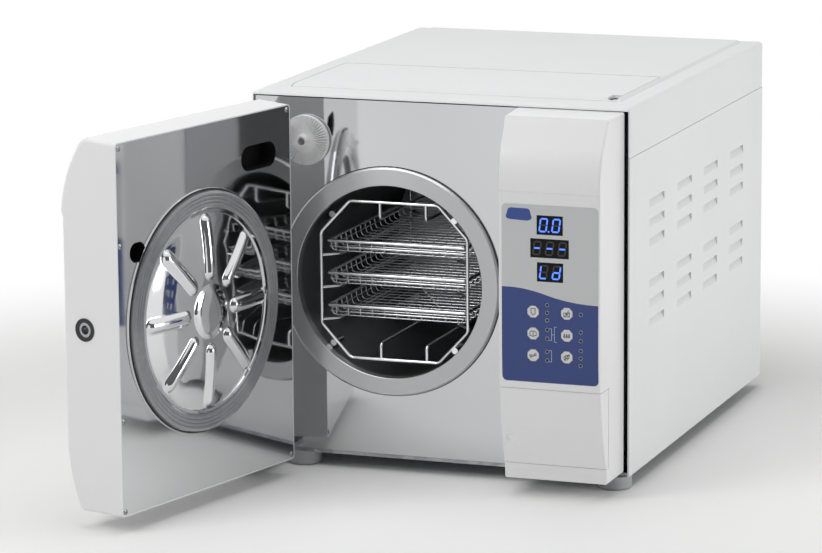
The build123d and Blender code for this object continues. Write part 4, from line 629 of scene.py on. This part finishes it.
# Keys: pale grey moulded caps with a chamfered edge, held behind the film over the board's
# switches. Each has a simple dark drawing printed on its face, in millimetres from its middle:
# wrapped load, open load, dress pack, drops, tap and leaf.
KEY_FACE = 97.44
KEY_SPOTS = [(x, z) for z in (239.3, 212.3, 185.35) for x in (155.6, 198.4)]
KEY_LINE = 0.8
KEY_DRAWINGS = (
    [[(-2.6, 4), (2.6, 4), (2.6, -2), (0.6, -4), (-1.2, -3.4), (-1.2, -2), (-2.6, -1), (-2.6, 4)]],
    [[(-3.6, 1.5), (-3.6, -3.6), (3.6, -3.6), (3.6, 1.5), (1.6, 1.5)], [(-2.4, 0.8), (2.4, -2.8)],
     [(2.4, 0.8), (-2.4, -2.8)], [(-1.4, 1.6), (0, -0.2), (2.2, 4.2)]],
    [[(-4, -2.4), (-4, 1.2), (-1.6, 3.6), (0, 2.4), (1.6, 3.6), (4, 1.2), (4, -2.4), (1.4, -2.4)],
     [(-4, -2.4), (-1.4, -2.4)], [(0, 2.4), (0, -3.4)], [(-1.2, -3.4), (1.2, -3.4)]],
    [[(x - 1, -1.4), (x, 2.2), (x + 1, -1.4), (x, -2.6), (x - 1, -1.4), (x + 1, -1.4)]
     for x in (-3, 0, 3)],
    [[(-4.2, 0.4), (1.2, 0.4), (1.2, -1), (-4.2, -1), (-4.2, 0.4)], [(-3.4, -1), (-3.4, -3)],
     [(-1.6, -1), (-1.6, -3)], [(1.2, -0.3), (3.8, -0.3), (3.8, 2.2), (2, 2.2), (2, 0.6)]],
    [[(-3, -3.4), (-3.6, 0), (-1.4, 2.4), (3.4, 3.6), (2.8, -0.6), (0.2, -3), (-3, -3.4)],
     [(-3, -3.4), (3.4, 3.6)], [(-1.4, -1.7), (-1.4, 1.6)], [(0.6, 0.3), (0.6, 2.6)],
     [(-0.4, -0.7), (2.2, -0.9)]],
)
key_plastic = surface("satin_key_moulding", "#D6D7D7", roughness=0.42)
key_grain = add(key_plastic.node_tree, "ShaderNodeTexNoise",
                {"Vector": place_in(key_plastic.node_tree), "Scale": PER_METRE / MOULD_GRAIN})
relief(key_plastic, key_grain.outputs["Fac"], 0.01)
shift_colour(key_plastic, key_grain.outputs["Fac"], "#D0D1D1", "#DBDCDC")
dark_ink = surface("dark_screen_ink", "#23283A", roughness=0.5)
dark_grain = add(dark_ink.node_tree, "ShaderNodeTexNoise",
                 {"Vector": place_in(dark_ink.node_tree), "Scale": PER_METRE / INK_GRAIN})
shift_colour(dark_ink, dark_grain.outputs["Fac"], "#1F2434", "#2B3044")
for number, ((key_x, key_z), drawing) in enumerate(zip(KEY_SPOTS, KEY_DRAWINGS), start=1):
    dress(key_plastic, f"key_{number}")
    ink = bmesh.new()
    for line in drawing:
        strip(ink, [(key_x + x, key_z + z) for x, z in line], KEY_LINE, KEY_FACE)
    piece(f"key_drawing_{number}", ink, dark_ink, f"key_body_{number}",
          smooth=False)

# Small lamps: moulded light pipes, pushed through the film in front of the board's diodes. They
# are smooth and look black while the diode behind them is off.
PIPE_HAZE = 1.4
lamp_plastic = surface("dark_light_pipe", "#10121A", roughness=0.2)
lamp_haze = add(lamp_plastic.node_tree, "ShaderNodeTexNoise",
                {"Vector": place_in(lamp_plastic.node_tree), "Scale": PER_METRE / PIPE_HAZE})
shift_gloss(lamp_plastic, lamp_haze.outputs["Fac"], 0.14, 0.28)
dress(lamp_plastic, "status_leds")

# Door plate: stainless sheet, buffed to a mirror and screwed to the door's inner flange. Only
# faint wipe marks and slow waves in the sheet break what it reflects.
WIPE = 26.0
WIPE_DRAW = 0.4
SHEET_WAVE = 333.3
mirror = surface("buffed_stainless", "#D2D3D4", metallic=1, roughness=0.05)
buffed = mirror.node_tree
wipes = add(buffed, "ShaderNodeTexNoise",
            {"Vector": place_in(buffed, (1, 1, WIPE_DRAW)), "Scale": PER_METRE / WIPE,
             "Detail": 5.0})
sag = add(buffed, "ShaderNodeTexNoise",
          {"Vector": place_in(buffed), "Scale": PER_METRE / SHEET_WAVE, "Detail": 0.0})
shift_gloss(mirror, wipes.outputs["Fac"], 0.03, 0.09)
relief(mirror, sag.outputs["Fac"], 0.35)
dress(mirror, "door_plate")

# Door disc: stainless sheet, pressed in one stroke with its eight half-round ribs and its boss,
# then polished and hung on the door's frame. The press leaves it slightly rippled, so that the
# reflections swim.
DISC_MIDDLE = (184.0, 244.0)
# Its section as (radius, height over the door's inner face): the boss, the ground that carries
# the ribs, and the lip with the back
DISC_BOSS = ((0.5, 14.0), (6, 14.0), (12, 13.95), (18, 13.8), (23, 13.45), (27, 12.8),
             (30, 11.8), (32, 10.9), (33.5, 10.35))
DISC_GROUND = ((33.5, 10.3), (40, 10.3), (60, 9.8), (80, 8.5), (100, 6.3), (115, 3.9),
               (120.4, 2.9))
DISC_LIP = ((120.6, 3.4), (121.0, 5.2), (124.8, 5.2), (124.8, 0.6), (147.0, 0.6), (147.0, 1.6),
            (149.7, 1.6), (150.0, 1.3), (150.0, 0.0), (121.5, 0.0), (119.0, 1.3), (100.0, 4.8),
            (60.0, 8.2), (0.5, 8.6))
DISC_STEP = 1.3
DISC_SIDES = 480
GROUND_START = 0.3
GROUND_BLEND = (-6, -3, 0, 3, 6)  # the heights this far in and out are evened out
RIB_COUNT = 8
RIB_LINE = (49.5, 109.5)
RIB_HALF = 8.8
RIB_RISE = 5.6
RIB_FOOT, RIB_FADE = 0.8, 1.5  # its edge runs out softly, from inside its half width to outside
RIPPLE = 30.0
SMEAR = 25.0

# How the open door stands, in the same numbers as the CAD: its angle, its hinge post's place,
# and how far the post is from the door's corner, along the door and through it
DOOR_OPEN = math.radians(103.9)
POST_SPOT = (-228.0, -64.5)
POST_ALONG, POST_DEEP = 20.5, 50.5
ALONG = Vector((math.cos(DOOR_OPEN), -math.sin(DOOR_OPEN), 0))
OUTWARD = Vector((-math.sin(DOOR_OPEN), -math.cos(DOOR_OPEN), 0))
DOOR_CORNER = at(*POST_SPOT, 0) - ALONG * POST_ALONG * MM - OUTWARD * POST_DEEP * MM


def on_door(s, z, rise):
    """A point by the door's inner face: s along it from the hinge, and rise out of it, in mm."""
    return DOOR_CORNER + ALONG * s * MM - OUTWARD * rise * MM + Vector((0, 0, z * MM))


def join_rings(mesh, rings, closed=False, other_way=False):
    """Joins rings of as many points each with four-sided faces, facing one way or the other."""
    for one, two in zip(rings, rings[1:] + (rings[:1] if closed else [])):
        for n in range(len(one)):
            after = (n + 1) % len(one)
            if other_way:
                mesh.faces.new((one[n], one[after], two[after], two[n]))
            else:
                mesh.faces.new((one[n], two[n], two[after], one[after]))


def rib_rise(r, a):
    """How far a half-round rib with round ends stands over the disc at a radius and an angle."""
    off = (a * RIB_COUNT / (2 * math.pi) + 0.5) % 1 - 0.5
    off *= 2 * math.pi / RIB_COUNT
    x, y = r * math.cos(off), r * math.sin(off)
    aside = math.hypot(x - min(max(x, RIB_LINE[0]), RIB_LINE[1]), y)
    if aside >= RIB_HALF + RIB_FADE:
        return 0.0
    bend = (RIB_HALF ** 2 + RIB_RISE ** 2) / (2 * RIB_RISE)
    if aside < RIB_HALF - RIB_FOOT:
        return math.sqrt(bend ** 2 - aside ** 2) - bend + RIB_RISE
    foot = math.sqrt(bend ** 2 - (RIB_HALF - RIB_FOOT) ** 2) - bend + RIB_RISE
    return foot * ((RIB_HALF + RIB_FADE - aside) / (RIB_FOOT + RIB_FADE)) ** 2


def between(line, r):
    """The height on a section line at a radius."""
    for (r0, h0), (r1, h1) in zip(line, line[1:]):
        if r <= r1:
            return h0 + (h1 - h0) * (r - r0) / (r1 - r0)
    return line[-1][1]


disc_line = list(DISC_BOSS)
ground_in, ground_out = DISC_GROUND[0][0], DISC_GROUND[-1][0]
steps = round((ground_out - ground_in) / DISC_STEP)
for step in range(steps + 1):
    r = ground_in + GROUND_START + (ground_out - ground_in - GROUND_START) * step / steps
    heights = [between(DISC_GROUND, r + shift) for shift in GROUND_BLEND]
    disc_line.append((r, sum(heights) / len(heights)))
disc_line += DISC_LIP
disc = bmesh.new()
disc_rings = []
for step, (r, rise) in enumerate(disc_line):
    ribbed = len(DISC_BOSS) <= step < len(disc_line) - len(DISC_LIP)
    disc_rings.append([
        disc.verts.new(on_door(DISC_MIDDLE[0] + r * math.cos(a), DISC_MIDDLE[1] + r * math.sin(a),
                               rise + (rib_rise(r, a) if ribbed else 0)))
        for a in angles(DISC_SIDES)])
join_rings(disc, disc_rings)
disc.faces.new(disc_rings[0])
disc.faces.new(reversed(disc_rings[-1]))
pressed = surface("pressed_polished_stainless", "#DCDDDE", metallic=1, roughness=0.06)
press = pressed.node_tree
ripple = add(press, "ShaderNodeTexNoise",
             {"Vector": place_in(press), "Scale": PER_METRE / RIPPLE, "Detail": 0.0})
smear = add(press, "ShaderNodeTexNoise",
            {"Vector": place_in(press), "Scale": PER_METRE / SMEAR, "Detail": 4.0})
relief(pressed, ripple.outputs["Fac"], 0.14)
shift_gloss(pressed, smear.outputs["Fac"], 0.03, 0.08)
disc_piece = piece("pressed_door_disc", disc, pressed, "door", crease=35)
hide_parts("door_disc")

# Gasket: moulded grey silicone, pressed on the disc. It has a wet sheen and lets a little light
# in, its ridges catch a line each, and it is dusted with powder in small patches.
DUSTING = 8.3
silicone = surface("grey_silicone", "#85878A", roughness=0.2, coat_weight=1.0,
                   coat_roughness=0.1, subsurface_weight=0.1, subsurface_scale=0.002)
dusting = add(silicone.node_tree, "ShaderNodeTexNoise",
              {"Vector": place_in(silicone.node_tree), "Scale": PER_METRE / DUSTING,
               "Detail": 3.0})
shift_gloss(silicone, dusting.outputs["Fac"], 0.14, 0.24)
shift_colour(silicone, dusting.outputs["Fac"], "#7B7D80", "#8F9194")
dress(silicone, "door_gasket")

# Hinge bushes: oil-filled sintered bronze, pressed in the door's frame round the post. It is
# dull and pitted with pores, drawn coarser than they are.
PORE = 1.2
bronze = surface("sintered_bronze", "#A87B45", metallic=1, roughness=0.5)
pores = add(bronze.node_tree, "ShaderNodeTexVoronoi",
            {"Vector": place_in(bronze.node_tree), "Scale": PER_METRE / PORE})
shift_colour(bronze, pores.outputs["Distance"], "#8A6234", "#B98B52")
dress(bronze, "hinge_bushes")

# Catch: a hardened and ground steel cup in the door's end, which the lock's steel bolt enters,
# with a moulded black rubber ring pushed in round it. The steel has a fine grey grain from the
# wheel, and the rubber blooms in slightly paler clouds.
GRINDING = 1.25
BLOOM = 5.0
hardened = surface("ground_tool_steel", "#A2A4A8", metallic=1, roughness=0.24)
ground = add(hardened.node_tree, "ShaderNodeTexNoise",
             {"Vector": place_in(hardened.node_tree), "Scale": PER_METRE / GRINDING})
shift_gloss(hardened, ground.outputs["Fac"], 0.18, 0.3)
dress(hardened, "catch_cup", "lock_bolt")
rubber = surface("black_moulded_rubber", "#1B1C1E", roughness=0.6)
bloom = add(rubber.node_tree, "ShaderNodeTexNoise",
            {"Vector": place_in(rubber.node_tree), "Scale": PER_METRE / BLOOM, "Detail": 3.0})
shift_colour(rubber, bloom.outputs["Fac"], "#151617", "#26272A")
relief(rubber, bloom.outputs["Fac"], 0.05)
dress(rubber, "catch_ring")

# Disc edge shade: a thin black band round the disc's lip, in the same black rubber finish. It is
# painted shade for the dark shadow gap where the disc's edge stands off the plate.
BAND = ((147.0, 1.65), (147.3, 2.15), (149.1, 2.15), (149.5, 1.65))
BAND_SIDES = 144
band = bmesh.new()
band_rings = [[
    band.verts.new(on_door(DISC_MIDDLE[0] + r * math.cos(a), DISC_MIDDLE[1] + r * math.sin(a),
                           rise))
    for a in angles(BAND_SIDES)] for r, rise in BAND]
join_rings(band, band_rings, closed=True)
piece("painted_shade_disc_ring", band, rubber, "door")

# Hole shades: black cups behind the plate's two holes, one for the filter's nipple and one for a
# plug. They are painted shade for the dark inside of the holes, so that nothing of the door's
# inside shows. They are dull, with a grain drawn coarser than it is.
# Each is its middle, along the door and up, then its length, height and depth
LINERS = ((67.0, 416.5, 72.0, 31.0, 22.0), (312.0, 337.0, 30.0, 24.0, 16.0))
LINER_WALL = 0.8
LINER_FRONT = 1.3
LINER_STEPS = 12
LINER_GRAIN = 1.1


def slot_line(s, z, length, height):
    """Points round a slot with half-round ends, as (s, z)."""
    half, radius = (length - height) / 2, height / 2
    ends = []
    for side, start in ((half, -math.pi / 2), (-half, math.pi / 2)):
        for n in range(LINER_STEPS + 1):
            a = start + math.pi * n / LINER_STEPS
            ends.append((s + side + radius * math.cos(a), z + radius * math.sin(a)))
    return ends


liner = bmesh.new()
for s, z, length, height, deep in LINERS:
    outside = slot_line(s, z, length + 2 * LINER_WALL, height + 2 * LINER_WALL)
    inside = slot_line(s, z, length, height)
    walls = []
    for line, rise in ((outside, -deep), (outside, -LINER_FRONT), (inside, -LINER_FRONT),
                       (inside, LINER_WALL - deep)):
        walls.append([liner.verts.new(on_door(u, v, rise)) for u, v in line])
    join_rings(liner, walls)
    liner.faces.new(walls[0])
    liner.faces.new(reversed(walls[-1]))
# Painted shade: near black, for the shadow inside the holes.
liner_plastic = surface("painted_hole_shade", "#0C0C0D", roughness=0.75,
                        specular_ior_level=0.2)
liner_grain = add(liner_plastic.node_tree, "ShaderNodeTexNoise",
                  {"Vector": place_in(liner_plastic.node_tree),
                   "Scale": PER_METRE / LINER_GRAIN})
shift_colour(liner_plastic, liner_grain.outputs["Fac"], "#0A0A0B", "#111113")
piece("painted_hole_shades", liner, liner_plastic, "door", smooth=False)

# Door screws: cross-recessed pan heads of bright steel, four down the plate's free edge and one
# at each corner by the hinge, driven into the door's inner flange.
SCREWS = ((345, 465), (345.4, 349), (345.4, 138), (345.4, 28), (7, 466), (5.4, 28.6))
HEAD_LINE = ((0.3, 1.6), (0.7, 1.6), (1.1, 1.58), (1.5, 1.53), (1.9, 1.45), (2.3, 1.32),
             (2.7, 1.12), (3.1, 0.8), (3.35, 0.4), (3.4, 0.0))
HEAD_SIDES = 48
CROSS_HALF, CROSS_REACH, CROSS_DEEP = 0.5, 1.95, 1.1  # half an arm's width, its length and depth
heads = bmesh.new()
for screw_s, screw_z in SCREWS:
    head_rings = []
    for radius, rise in HEAD_LINE:
        made = []
        for a in angles(HEAD_SIDES):
            u, v = radius * math.cos(a), radius * math.sin(a)
            in_arm = min(abs(u), abs(v)) < CROSS_HALF and max(abs(u), abs(v)) < CROSS_REACH
            height = rise - CROSS_DEEP if in_arm else rise
            made.append(heads.verts.new(on_door(screw_s + u, screw_z + v, height)))
        head_rings.append(made)
    heads.faces.new(head_rings[0])
    join_rings(heads, head_rings)
head_piece = piece("cross_head_screws", heads, hardened, "door", smooth=False)
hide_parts("door_screws")

# Chamber flange: a forged stainless ring, welded to the chamber, faced on a lathe and bevelled
# at its edge. The tool leaves rings too fine to see, which are drawn 1.5 mm apart, and its gloss
# is drawn out across them.
TOOL_RING = 1.5
FLANGE = ((123.2, -6.0), (143.2, -6.0), (145.3, -4.2), (145.3, 2.6), (152.0, 2.6), (152.0, 8.0),
          (122.5, 8.0), (122.5, -5.3))
FLANGE_SIDES = 288
CHAMBER_SPOT = (-64.5, 244.0)


def round_chamber(mesh, line):
    """Turns a closed section, given as (radius, y) points, round the chamber's axis."""
    x, z = CHAMBER_SPOT
    rings = [[mesh.verts.new(at(x + r * math.cos(a), y, z + r * math.sin(a)))
              for a in angles(FLANGE_SIDES)] for r, y in line]
    join_rings(mesh, rings, closed=True)


flange = bmesh.new()
round_chamber(flange, FLANGE)
machined = surface("faced_stainless", "#B4B5B6", metallic=1, roughness=0.3, anisotropic=0.7,
                   anisotropic_rotation=0.25)
relief(machined, turned_rings(machined, TOOL_RING, CHAMBER_MIDDLE, (0, 1, 0)), 0.006)
round_way = add(machined.node_tree, "ShaderNodeTangent", direction_type="RADIAL", axis="Y")
machined.node_tree.links.new(round_way.outputs[0],
                             machined.node_tree.nodes["Principled BSDF"].inputs["Tangent"])
flange_piece = piece("faced_flange", flange, machined, "housing", crease=20)
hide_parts("chamber_flange")

# Flange gap shade: a ring in the black rubber finish, in the gap between the chamber flange and
# the front panel, a little below the sheet. It is painted shade for the shadow in that gap.
SEAL = ((145.4, 2.4), (145.4, 1.4), (146.4, 1.4), (146.4, 2.4))
seal = bmesh.new()
round_chamber(seal, SEAL)
piece("painted_flange_gap_shade", seal, rubber, "housing", smooth=False)

# Tray rack: 4.4 mm stainless wire, bent in two eight-sided loops and spot-welded to the
# runners, then electropolished bright, with a little of the drawn wire's cloud left.
WIRE_CLOUD = 4.0
wire_steel = surface("electropolished_wire", "#E4E5E6", metallic=1, roughness=0.16)
drawn_wire = add(wire_steel.node_tree, "ShaderNodeTexNoise",
                 {"Vector": place_in(wire_steel.node_tree), "Scale": PER_METRE / WIRE_CLOUD,
                  "Detail": 2.0})
shift_gloss(wire_steel, drawn_wire.outputs["Fac"], 0.12, 0.22)
dress(wire_steel, "tray_rack")

# Trays: three baskets of stainless wire that lie on the runners. Each has a thick rim, a thin
# rail half way up, wires across the floor that turn up at the sides, and wires from front to
# back that turn up at both ends, all spot-welded where they cross.
RIM_RADIUS = 2.2
RIM_BELOW = 0.1  # how far the rim's top lies under the tips of the wires
MID_RADIUS = 0.9
MID_DROP = 7.6
ACROSS_WIRE = 0.85  # the floor wires' radius
ACROSS_PITCH = 18.0
ALONG_WIRE = 0.6
ALONG_PITCH = 15.7
LEAN = 3.0  # how far the walls lean out from the floor to the rim
BEND = 4.0
BEND_STEPS = 4
RIM_CORNER = 4.0
RIM_STEPS = 6
WIRE_SIDES = 8
RIM_SIDES = 12


def rounded(corners, radius, steps):
    """A bent wire's middle line, with each corner turned into a short arc."""
    line = [corners[0]]
    for before, corner, after in zip(corners, corners[1:], corners[2:]):
        first = corner + (before - corner).normalized() * radius
        last = corner + (after - corner).normalized() * radius
        for step in range(steps + 1):
            t = step / steps
            line.append(first * (1 - t) ** 2 + corner * 2 * t * (1 - t) + last * t ** 2)
    return line + [corners[-1]]


def skin_wire(mesh, line, radius, sides=WIRE_SIDES, closed=False):
    """Skins a round wire along its middle line and closes its ends."""
    across, rings, count = None, [], len(line)
    for here, point in enumerate(line):
        if closed:
            ahead = (line[(here + 1) % count] - line[here - 1]).normalized()
        else:
            ahead = (line[min(here + 1, count - 1)] - line[max(here - 1, 0)]).normalized()
        across = ahead.orthogonal() if across is None else across - ahead * across.dot(ahead)
        across = across.normalized()
        over = ahead.cross(across)
        rings.append([mesh.verts.new(point + (across * math.cos(a) + over * math.sin(a)) * radius)
                      for a in angles(sides)])
    join_rings(mesh, rings, closed=closed, other_way=True)
    if not closed:
        mesh.faces.new(reversed(rings[0]))
        mesh.faces.new(rings[-1])


def frame_line(x0, x1, y0, y1, z):
    """The middle line of a closed wire frame with rounded corners, lying level."""
    middle = Vector(((x0 + x1) / 2, y0, z))
    return rounded([middle, Vector((x1, y0, z)), Vector((x1, y1, z)), Vector((x0, y1, z)),
                    Vector((x0, y0, z)), middle], RIM_CORNER * MM, RIM_STEPS)[:-1]


for number in (1, 2, 3):
    low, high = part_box(f"tray_{number}")
    basket = bmesh.new()
    floor_z, rim_z = low.z + ACROSS_WIRE * MM, high.z - (RIM_RADIUS + RIM_BELOW) * MM
    x0, x1 = low.x + RIM_RADIUS * MM, high.x - RIM_RADIUS * MM
    y0, y1 = low.y + RIM_RADIUS * MM, high.y - RIM_RADIUS * MM
    lean, bend, tip_z = LEAN * MM, BEND * MM, high.z
    skin_wire(basket, frame_line(x0, x1, y0, y1, rim_z), RIM_RADIUS * MM, sides=RIM_SIDES,
              closed=True)
    half = lean / 2
    skin_wire(basket,
              frame_line(x0 + half, x1 - half, y0 + half, y1 - half, rim_z - MID_DROP * MM),
              MID_RADIUS * MM, closed=True)
    inner_x, inner_y = (x0 + lean, x1 - lean), (y0 + lean, y1 - lean)
    count = round((inner_y[1] - inner_y[0]) / (ACROSS_PITCH * MM))
    for step in range(count):
        y = inner_y[0] + (inner_y[1] - inner_y[0]) * (step + 0.5) / count
        corners = [Vector((x0, y, tip_z)), Vector((inner_x[0], y, floor_z)),
                   Vector((inner_x[1], y, floor_z)), Vector((x1, y, tip_z))]
        skin_wire(basket, rounded(corners, bend, BEND_STEPS), ACROSS_WIRE * MM)
    count = round((inner_x[1] - inner_x[0]) / (ALONG_PITCH * MM))
    for step in range(count):
        x = inner_x[0] + (inner_x[1] - inner_x[0]) * (step + 0.5) / count
        corners = [Vector((x, y0, rim_z)), Vector((x, inner_y[0], floor_z)),
                   Vector((x, inner_y[1], floor_z)), Vector((x, y1, rim_z))]
        skin_wire(basket, rounded(corners, bend, BEND_STEPS), ALONG_WIRE * MM)
    basket_piece = piece(f"wire_basket_{number}", basket, wire_steel, f"tray_body_{number}")
    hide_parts(f"tray_{number}")

# Air filter: a moulded white cap over the bacterial filter, screwed in its grey socket by hand.
# Forty-eight flutes run in from its rim, and a hollow nipple stands in its middle. It is the
# same satin white as the housing's mouldings.
FILTER_X, FILTER_Z = -175.0, 419.0
FLUTES = 48
FLUTE_STEPS = 8
FLUTE_DEPTH = 4.5
FLUTE_FADE = (12.0, 24.0, 30.2)  # the radii where they start, are full and stop
FADE_OUT = 0.6
FLUTED_FROM = 6.0  # only what stands this far out of the panel is fluted
FLUTE_FLOOR = 4.6  # and no flute goes further back than this
CAP_LINE = ((18.0, -20.7), (18.0, 0.7), (31.0, 0.7), (31.5, 1.2), (31.5, 5.4), (31.3, 5.9),
            (30.8, 6.2), (30.4, 6.4), (29.8, 6.9), (29.0, 7.4), (28.0, 8.0), (26.5, 8.7),
            (25.0, 9.2), (23.0, 9.6), (20.0, 10.0), (17.0, 10.2), (14.0, 10.3), (11.5, 10.4),
            (9.5, 10.7), (8.6, 11.3), (7.9, 12.6), (7.5, 14.5), (7.5, 17.8), (7.2, 18.4),
            (6.6, 18.6), (5.4, 18.6), (4.9, 18.3), (4.8, 17.6), (4.8, 5.0))


def flute(radius, stands, across):
    """How deep the flutes are cut at a radius where the cap stands so far out of the panel."""
    if stands <= FLUTED_FROM:
        return 0
    start, full, stop = FLUTE_FADE
    fade_in = min(max((radius - start) / (full - start), 0), 1)
    fade_out = min(max((stop + FADE_OUT - radius) / FADE_OUT, 0), 1)
    hollow = 0.5 - 0.5 * math.cos(2 * math.pi * across)
    return min(FLUTE_DEPTH * (fade_in * fade_out) * hollow, max(stands - FLUTE_FLOOR, 0))


cap = bmesh.new()
cap_rings = []
for radius, stands in CAP_LINE:
    made = []
    for n, a in enumerate(angles(FLUTES * FLUTE_STEPS)):
        depth = flute(radius, stands, (n % FLUTE_STEPS) / FLUTE_STEPS)
        made.append(cap.verts.new(at(FILTER_X + radius * math.cos(a), -(stands - depth),
                                     FILTER_Z + radius * math.sin(a))))
    cap_rings.append(made)
join_rings(cap, cap_rings, other_way=True)
cap.faces.new(reversed(cap_rings[0]))
cap.faces.new(cap_rings[-1])
cap_piece = piece("fluted_filter_cap", cap, moulded, "filter")
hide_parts("air_filter")
dress(grey_plastic, "filter_socket")

# Notch pad: a white moulded pad, stuck on the tank's lip under the finger notch of the lid, so
# that the fingertip meets a clean face and no dark gap shows.
PAD = ((203.4, 62.4, 475.4), (215.6, 77.6, 475.95))
pad = bmesh.new()
pad_low, pad_high = (at(*corner) for corner in PAD)
bmesh.ops.create_cube(pad, size=1.0, matrix=Matrix.Translation((pad_low + pad_high) / 2)
                      @ Matrix.Diagonal((*(pad_high - pad_low), 1.0)))
piece("notch_pad", pad, moulded, "housing", smooth=False)

# Water reservoir: natural polypropylene, moulded in one piece with a wall between clean and
# used water, and set down in the cap. It is milky and waxy, a little cloudier in some places.
WAX_CLOUD = 40.0
tank_plastic = surface("natural_polypropylene", "#D8DAD9", roughness=0.45,
                       subsurface_weight=0.2, subsurface_scale=0.004)
wax = add(tank_plastic.node_tree, "ShaderNodeTexNoise",
          {"Vector": place_in(tank_plastic.node_tree), "Scale": PER_METRE / WAX_CLOUD,
           "Detail": 3.0})
shift_colour(tank_plastic, wax.outputs["Fac"], "#CDD0CF", "#E0E2E1")
dress(tank_plastic, "water_reservoir")

# Fan, power inlet and switch on the back: mouldings of black glass-filled nylon with a matt
# face, screwed or snapped into the rear panel. They have the same mould grain as the feet.
black_plastic = surface("black_moulded_nylon", "#17181A", roughness=0.5)
black_grain = add(black_plastic.node_tree, "ShaderNodeTexNoise",
                  {"Vector": place_in(black_plastic.node_tree), "Scale": PER_METRE / MOULD_GRAIN})
relief(black_plastic, black_grain.outputs["Fac"], 0.04)
shift_gloss(black_plastic, black_grain.outputs["Fac"], 0.42, 0.58)
dress(black_plastic, "fan_frame", "fan_rotor", "power_inlet", "power_switch")

# The lowest and highest corners, in metres, of the box round all that the dressed model shows.
low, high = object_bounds()
